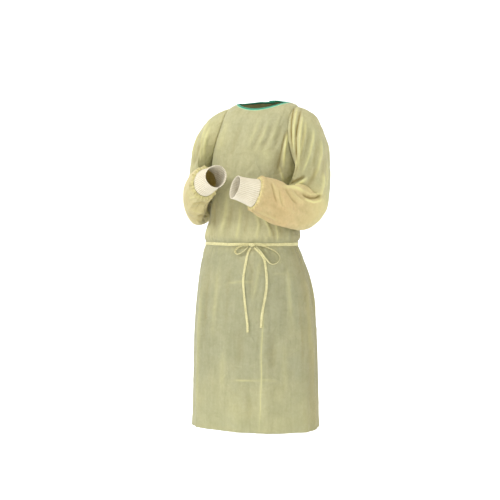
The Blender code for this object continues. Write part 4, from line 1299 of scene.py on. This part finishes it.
def make_sleeve(name, side, folds, creases):
    around = np.linspace(0.0, 360.0, SLEEVE_COLUMNS, endpoint=False)
    last = len(STATION_ROWS) - 1.0
    place = last * np.linspace(0.0, 1.0, SLEEVE_ROWS) ** 1.06
    place_grid, around_grid = np.meshgrid(place, around, indexing="ij")
    base = whole_sleeve_point(side, folds, place_grid, around_grid)
    normals = grid_normals(base, True, -float(side))
    across, along = arc_map(base, True)
    at_seam = edge_distance(base, ARMHOLES[side])
    share = place_grid / last
    end_free = 1.0 - ease((share - SLEEVE_RIM_START) / (1.0 - SLEEVE_RIM_START))
    photo, pale, deep = photo_creases(base, normals, creases)
    to_metres = (SLEEVE_METRES_A_DEGREE, SLEEVE_METRES_A_SHARE)
    hidden = hidden_folds(around_grid, share, SLEEVE_HIDDEN_FOLDS, to_metres)
    crumple = soft_crumple(across, along, *SLEEVE_CRUMPLE, SEEDS[side])
    grow = (photo + hidden + crumple) * ease(at_seam / ARMHOLE_FADE) * end_free
    turned = np.radians(around_grid)
    drawn = ease((share - SLEEVE_DRAWN_START) / 0.11) * (1.0 - 0.5 * ease((share - 0.975) / 0.025))
    pleats = np.sin(turned * 23.0 + 1.6 * np.sin(turned * 3.0)) + 0.6 * np.sin(turned * 37.0 + 2.0)
    grow += drawn * 0.0012 * pleats
    grow += seam_pucker(np.sin(turned * 38.0), at_seam)
    points = base + normals * grow[..., None]
    # The lower sleeve is drawn warmer, painted light coming through the cloth.
    warmth = 0.10 + LOWER_SLEEVE_WARMTH[side] * ease((share - 0.30) / 0.36)
    # Painted highlight on the rim at the sleeve's end, over the elbow, on the right forearm, on the drawn
    # pleats' crests and a little all over; painted shade in the pleats' hollows.
    rim = ease((share - SLEEVE_RIM_START) / 0.04)
    elbow = 0.34 * bump(share - 0.47, 0.17) + LOWER_SLEEVE_PALE[side] * ease((share - 0.50) / 0.12)
    raised = 0.20 * drawn * np.maximum(pleats, 0.0) + elbow + 0.05
    pale = np.maximum(pale, np.maximum(0.62 * rim, raised))
    deep = np.maximum(deep, 0.16 * drawn * np.maximum(-pleats, 0.0))
    tones = (warmth, np.maximum(pale, ridge_light(grow)), np.maximum(deep, fold_shade(grow, 0.0055)))
    word = "left" if side > 0 else "right"
    normals = grid_normals(points, True, -float(side))
    stitch_row("armhole_stitches_" + word, points[2], normals[2], pale_thread, True)
    stitch_row("sleeve_end_stitches_" + word, points[-5], normals[-5], pale_thread, True)
    stitch_row("underarm_stitches_" + word, points[4:-6, 2], normals[4:-6, 2], pale_thread)
    return cloth_piece(name, points, True, side > 0, (across, along), tones, sleeve_cloth)


left_sleeve = make_sleeve("sleeve_cloth_left", 1, LEFT_SLEEVE_FOLDS, LEFT_SLEEVE_CREASES)
right_sleeve = make_sleeve("sleeve_cloth_right", -1, RIGHT_SLEEVE_FOLDS, RIGHT_SLEEVE_CREASES)
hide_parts("sleeve_left")
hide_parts("sleeve_right")


# ---- knitted cuffs ------------------------------------------------------------------------------
CUFF_COLUMNS = CUFF_RIBS * 6
CUFF_OUTER_ROWS = 46
CUFF_INNER_ROWS = 18


def cuff_points(side, along, turned, grow):
    last = SLEEVE_STATIONS[-1]
    across = unit(np.array(last.outer) - np.array(last.inner))
    fore = np.array(last.front)
    fore = unit(fore - across * np.dot(fore, across))
    clear = np.cross(across, fore) * (0.5 * PACKED_CLOTH)
    middle = (np.array(last.inner) + np.array(last.outer)) * 0.5 + clear
    rows = smooth_rows(CUFF_ROWS, np.interp(along, CUFF_ROWS[:, 0], np.arange(len(CUFF_ROWS))))
    centre = middle + unit(np.array(CUFF_DIRECTION)) * along[..., None]
    point = centre + across * (np.cos(turned) * (rows[..., 2] + grow))[..., None]
    point = point + fore * (np.sin(turned) * (rows[..., 1] + grow))[..., None]
    point[..., 0] *= side
    return point + sway(point[..., 2]) + np.array(WRIST_SHIFT[side])


def make_cuff(name, side):
    """A ribbed tube with a rounded free edge and a plain inside."""
    length = CUFF_ROWS[-1, 0]
    turned = np.linspace(0.0, 2.0 * math.pi, CUFF_COLUMNS, endpoint=False)
    outer = np.linspace(0.0, length, CUFF_OUTER_ROWS)
    inner = np.linspace(length, 0.0, CUFF_INNER_ROWS)
    along = np.concatenate([outer, [length + 0.0012], inner])
    outside = np.concatenate([np.ones(CUFF_OUTER_ROWS), [0.5], np.zeros(CUFF_INNER_ROWS)])
    along_grid, turned_grid = np.meshgrid(along, turned, indexing="ij")
    rib = CUFF_RIB_HEIGHT * (0.5 + 0.5 * np.cos(turned_grid * CUFF_RIBS)) ** 0.7
    drawn = 0.0010 * np.sin(along_grid * 190.0 + 2.0 * np.sin(turned_grid * 2.0))
    slack = 0.0016 * np.sin(turned_grid * 3.0 + 0.6) * ease(along_grid / length)
    grow = mix(-CUFF_THICKNESS, rib, outside[:, None]) + drawn * 0.35 + slack * 0.5
    points = cuff_points(side, along_grid, turned_grid, grow)
    faces = grid_quads(points.shape[0] + 1, CUFF_COLUMNS, True)
    faces = faces % (points.shape[0] * CUFF_COLUMNS)
    if side < 0:
        faces = faces[:, ::-1]
    mesh = mesh_of(name, points, faces.tolist())
    girth = np.full(len(along), 2.0 * math.pi * CUFF_MEAN_RADIUS)
    lay_map(mesh, turned_grid * CUFF_MEAN_RADIUS, along_grid, girth)
    mesh.shade_smooth()
    return link_piece(name, mesh, rib_knit)


left_cuff = make_cuff("knit_cuff_left", 1)
right_cuff = make_cuff("knit_cuff_right", -1)
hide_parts("cuff_left")
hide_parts("cuff_right")


# ---- neck binding ------------------------------------------------------------------------------
BINDING_STEPS = 240
STITCH_INSET = 0.0018


def binding_section():
    """The strip folded over the edge, with rounded corners, as (out, up)."""
    near = 0.5 * PACKED_CLOTH + 0.0001
    far = near + BINDING_THICKNESS
    outer = [(far * 0.96, -BINDING_WIDTH), (far * 1.06, -BINDING_WIDTH * 0.8)]
    outer += [(far * 1.12, -BINDING_WIDTH * 0.45), (far * 1.04, 0.0)]
    over = [(far * math.cos(turn), far * math.sin(turn)) for turn in np.linspace(0.35, math.pi - 0.35, 7)]
    return outer + over + [(-out, up) for out, up in outer[::-1]] + [
        (-near, -BINDING_WIDTH), (-near, near), (near, near), (near, -BINDING_WIDTH)]


def make_binding():
    """The strip along the neck edge, from the under back to the outer one."""
    angle = np.linspace(-back_end, back_end, BINDING_STEPS)
    layer = np.clip((np.abs(angle) - 90.0) / 20.0, 0.0, 1.0) * np.sign(angle)
    edge = body_point(angle, 1.0, layer)
    upward = unit(edge - body_point(angle, 0.88, layer))
    outward = unit(np.cross(np.gradient(edge, axis=0), upward))
    section = np.array(binding_section())[::-1]
    rings = edge[:, None] + outward[:, None] * section[:, :1] + upward[:, None] * section[:, 1:]
    height = BINDING_WIDTH + np.broadcast_to(section[:, 1], rings.shape[:2])
    line = edge + outward * (0.5 * PACKED_CLOTH + BINDING_THICKNESS) - upward * (BINDING_WIDTH - STITCH_INSET)
    stitch_row("binding_stitches", line[2:-2], outward[2:-2], green_thread)
    return loft_piece("green_neck_binding", rings, green_strip, height)


binding = make_binding()
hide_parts("neck_binding")


# ---- belt and bow -----------------------------------------------------------------------------------
BELT_STEPS = 360
TAPE_STEPS = 10
TAPE_NARROWING = 0.12


def belt_surface(angle, height, lift):
    """A point off the cloth's outer face; the left back is the outer one."""
    turned = turn_apart(angle, 0.0)
    lapped = (turned > 90.0) | (turned < OVERLAP_DEGREES * 0.5 + BELT_STEP_DEGREES - 180.0)
    layer = np.where(lapped, 1.0, np.where(turned < -90.0, -1.0, 0.0))
    base = body_point(angle, level_of(height), layer)
    return base + out_of(angle) * (0.5 * PACKED_CLOTH + LAY_GAP + lift)[..., None]


def tape_section(half_width, thickness):
    """A flattened folded tape with soft edges, as (across, out)."""
    half = thickness * 0.5
    top = [(-0.86, 0.80), (-0.55, 1.0), (-0.18, 0.86), (0.18, 0.90), (0.55, 1.0), (0.86, 0.80)]
    shape = top + [(1.0, 0.0)] + [(x, -y) for x, y in top[::-1]] + [(-1.0, 0.0)]
    return np.array([(x * half_width, y * half) for x, y in shape])


def make_belt():
    angle = np.linspace(0.0, 360.0, BELT_STEPS, endpoint=False)
    section = tape_section(BELT_WIDTH * 0.5, BELT_THICKNESS)
    turned = np.radians(angle)
    wobble = 0.0004 * np.sin(turned * 7.0) + 0.0003 * np.sin(turned * 17.0 + 1.0)
    puff = 0.00025 * (1.0 + np.sin(turned * 61.0 + 2.0 * np.sin(turned * 5.0)))
    rings = []
    for across, out in section:
        height = BELT_HEIGHT + across + wobble
        rings.append(belt_surface(angle, height, out + BELT_THICKNESS * 0.5 + puff))
    points = np.stack(rings, 1)
    faces = grid_quads(BELT_STEPS + 1, len(section), True) % (BELT_STEPS * len(section))
    mesh = mesh_of("waist_belt", points, faces[:, ::-1].tolist())
    run = np.concatenate([[0.0], np.cumsum(np.linalg.norm(np.diff(points.mean(axis=1), axis=0), axis=-1))])
    across = np.broadcast_to(section[:, 0], points.shape[:2]) + BELT_WIDTH
    lay_map(mesh, across, np.broadcast_to(run[:, None], points.shape[:2]))
    mesh.shade_smooth()
    return link_piece("waist_belt", mesh, tape_cloth)


def tape_middle(rows):
    """Table rows as places in space, with the cloth's outward direction."""
    height = BELT_HEIGHT - rows[..., 1]
    values = body_section(height)
    reach = (KNOT_PLACE + rows[..., 0] - values[..., 3]) / values[..., 1]
    angle = np.degrees(np.arcsin(np.sign(reach) * np.abs(reach) ** (0.5 * BODY_SQUARENESS)))
    return belt_surface(angle, height, rows[..., 2]), out_of(angle)


def make_tape(name, table, narrow_start, narrow_end):
    """A soft folded tape through the points of its table."""
    rows = np.array(table)
    place = np.linspace(0.0, len(rows) - 1.0, (len(rows) - 1) * TAPE_STEPS + 1)
    values = smooth_rows(rows, place)
    middle, outward = tape_middle(values)
    ahead = unit(np.gradient(middle, axis=0))
    outward = unit(outward - ahead * np.sum(outward * ahead, -1, keepdims=True))
    beside = np.cross(ahead, outward)
    turned = np.radians(values[:, 3])[:, None]
    wide = beside * np.cos(turned) + outward * np.sin(turned)
    thick = outward * np.cos(turned) - beside * np.sin(turned)
    share = place / place[-1]
    waist = 1.0 - narrow_start * (1.0 - ease(share / TAPE_NARROWING))
    waist -= narrow_end * (1.0 - ease((1.0 - share) / TAPE_NARROWING))
    waist *= 1.0 + 0.05 * np.sin(share * 31.0) + 0.03 * np.sin(share * 73.0)
    section = tape_section(TAPE_HALF_WIDTH, BELT_THICKNESS)
    rings = middle[:, None] + wide[:, None] * section[:, :1] * waist[:, None, None]
    rings = rings + thick[:, None] * section[:, 1:]
    return loft_piece(name, rings[:, ::-1], tape_cloth)


def make_knot():
    """The small flat knot: a wrapped tape with creases across it."""
    middle, outward = tape_middle(np.array((0.0, KNOT_DROP, KNOT_LIFT, 0.0)))
    deselect_all()
    bpy.ops.mesh.primitive_uv_sphere_add(segments=56, ring_count=32, radius=1.0)
    knot = bpy.context.active_object
    knot.name = "bow_knot_wrap"
    knot.data.name = "bow_knot_wrap"
    middle, outward = Vector(middle.tolist()), Vector(outward.tolist())
    upward = Vector((0.0, 0.0, 1.0))
    beside = outward.cross(upward)
    for vertex in knot.data.vertices:
        spot = vertex.co.copy()
        wrap = 0.10 * math.sin(spot.z * 7.0 + spot.x * 2.4) + 0.06 * math.sin(spot.x * 11.0 - spot.z * 3.0)
        waist = 1.0 - 0.24 * (1.0 - spot.x * spot.x) * (1.0 - abs(spot.y))
        full = 1.0 + wrap * max(spot.y, 0.0)
        vertex.co = (
            middle
            + beside * (spot.x * KNOT_HALF_WIDTH)
            + upward * (spot.z * KNOT_HALF_HEIGHT * waist * (1.0 + 0.10 * math.sin(spot.x * 6.0)))
            + outward * (spot.y * KNOT_HALF_DEPTH * full)
        )
    knot.data.uv_layers[0].name = "cloth_map"
    knot.data.materials.append(tape_cloth)
    knot.data.shade_smooth()
    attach(knot, "root")
    return knot


belt = make_belt()
knot = make_knot()
loop_left = make_tape("bow_loop_tape_left", LOOP_LEFT, 0.35, 0.35)
loop_right = make_tape("bow_loop_tape_right", LOOP_RIGHT, 0.35, 0.35)
end_left = make_tape("tie_end_left", END_LEFT, 0.3, 0.0)
end_right = make_tape("tie_end_right", END_RIGHT, 0.3, 0.0)
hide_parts("belt_band")
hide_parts("bow_knot")
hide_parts("bow_loop_left")
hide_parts("bow_loop_right")
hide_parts("belt_end_left")
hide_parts("belt_end_right")


# ---- studio --------------------------------------------------------------------------------------------
FLOOR_HEIGHT = -1.50
FLOOR_DEPTH = 2.4
FLOOR_BEND = 1.2


def make_studio():
    """A pale floor that curves up into a pale backdrop behind the gown."""
    rows = []
    for turn in np.radians(np.linspace(0.0, 90.0, 25)):
        up = FLOOR_HEIGHT + FLOOR_BEND * (1.0 - math.cos(turn))
        rows.append((FLOOR_DEPTH + FLOOR_BEND * math.sin(turn), up))
    profile = [(-9.0, FLOOR_HEIGHT)] + rows + [(FLOOR_DEPTH + FLOOR_BEND, 6.0)]
    turned = math.radians(VIEW_DEGREES)
    back = np.array((-math.sin(turned), math.cos(turned), 0.0))
    aside = np.array((math.cos(turned), math.sin(turned), 0.0))
    edges = [[back * out + aside * x + (0.0, 0.0, up) for x in (-9.0, 9.0)] for out, up in profile]
    points = np.array(edges)
    mesh = mesh_of("studio_floor", points, grid_quads(len(profile), 2, False)[:, ::-1].tolist())
    mesh.shade_smooth()
    mesh.materials.append(studio_finish("pale studio paper", (0.93, 0.93, 0.93, 1.0)))
    floor = bpy.data.objects.new("studio_floor", mesh)
    bpy.context.scene.collection.objects.link(floor)


Lamp = namedtuple("Lamp", "name place aim size power")
LAMPS = table(
    Lamp,
    ("key softbox", (-2.6, -2.6, 1.5), (0.0, 0.0, -0.5), 1.1, 98.0),
    ("fill softbox", (3.2, -2.4, 0.2), (0.0, 0.0, -0.5), 2.2, 36.0),
    ("low softbox", (0.9, -3.0, -0.9), (0.0, 0.0, -0.4), 1.4, 16.0),
    ("back softbox left", (-2.4, 1.6, 0.6), (0.0, 0.0, -0.5), 1.4, 32.0),
    ("back softbox right", (2.6, 1.2, 0.4), (0.0, 0.0, -0.5), 1.4, 26.0),
    ("top softbox", (0.2, -0.6, 2.4), (0.0, 0.0, -0.5), 1.6, 30.0),
    ("backdrop lamp", (-0.6, 1.0, 1.6), (-1.5, 3.4, 0.0), 2.0, 70.0),
)


def make_lamps():
    for lamp in LAMPS:
        light = bpy.data.lights.new(lamp.name, "AREA")
        light.shape = "DISK"
        light.size = lamp.size
        light.energy = lamp.power
        holder = bpy.data.objects.new(lamp.name, light)
        holder.location = lamp.place
        way = Vector(lamp.aim) - Vector(lamp.place)
        holder.rotation_euler = way.to_track_quat("-Z", "Y").to_euler()
        bpy.context.scene.collection.objects.link(holder)
    world = bpy.data.worlds.new("studio air")
    bpy.context.scene.world = world
    world.use_nodes = True
    air = world.node_tree.nodes["Background"]
    air.inputs["Color"].default_value = (1.0, 1.0, 1.0, 1.0)
    air.inputs["Strength"].default_value = 0.50
    bpy.context.scene.view_settings.view_transform = "Standard"


def make_camera():
    place, ahead, _, _ = camera_frame()
    lens = bpy.data.cameras.new("photo camera")
    lens.sensor_width = SENSOR_WIDTH
    lens.lens = FOCAL_PIXELS * SENSOR_WIDTH / PHOTO_SIZE
    holder = bpy.data.objects.new("photo camera", lens)
    holder.location = place.tolist()
    holder.rotation_euler = Vector(ahead.tolist()).to_track_quat("-Z", "Y").to_euler()
    bpy.context.scene.collection.objects.link(holder)
    bpy.context.scene.camera = holder


make_studio()
make_lamps()
make_camera()
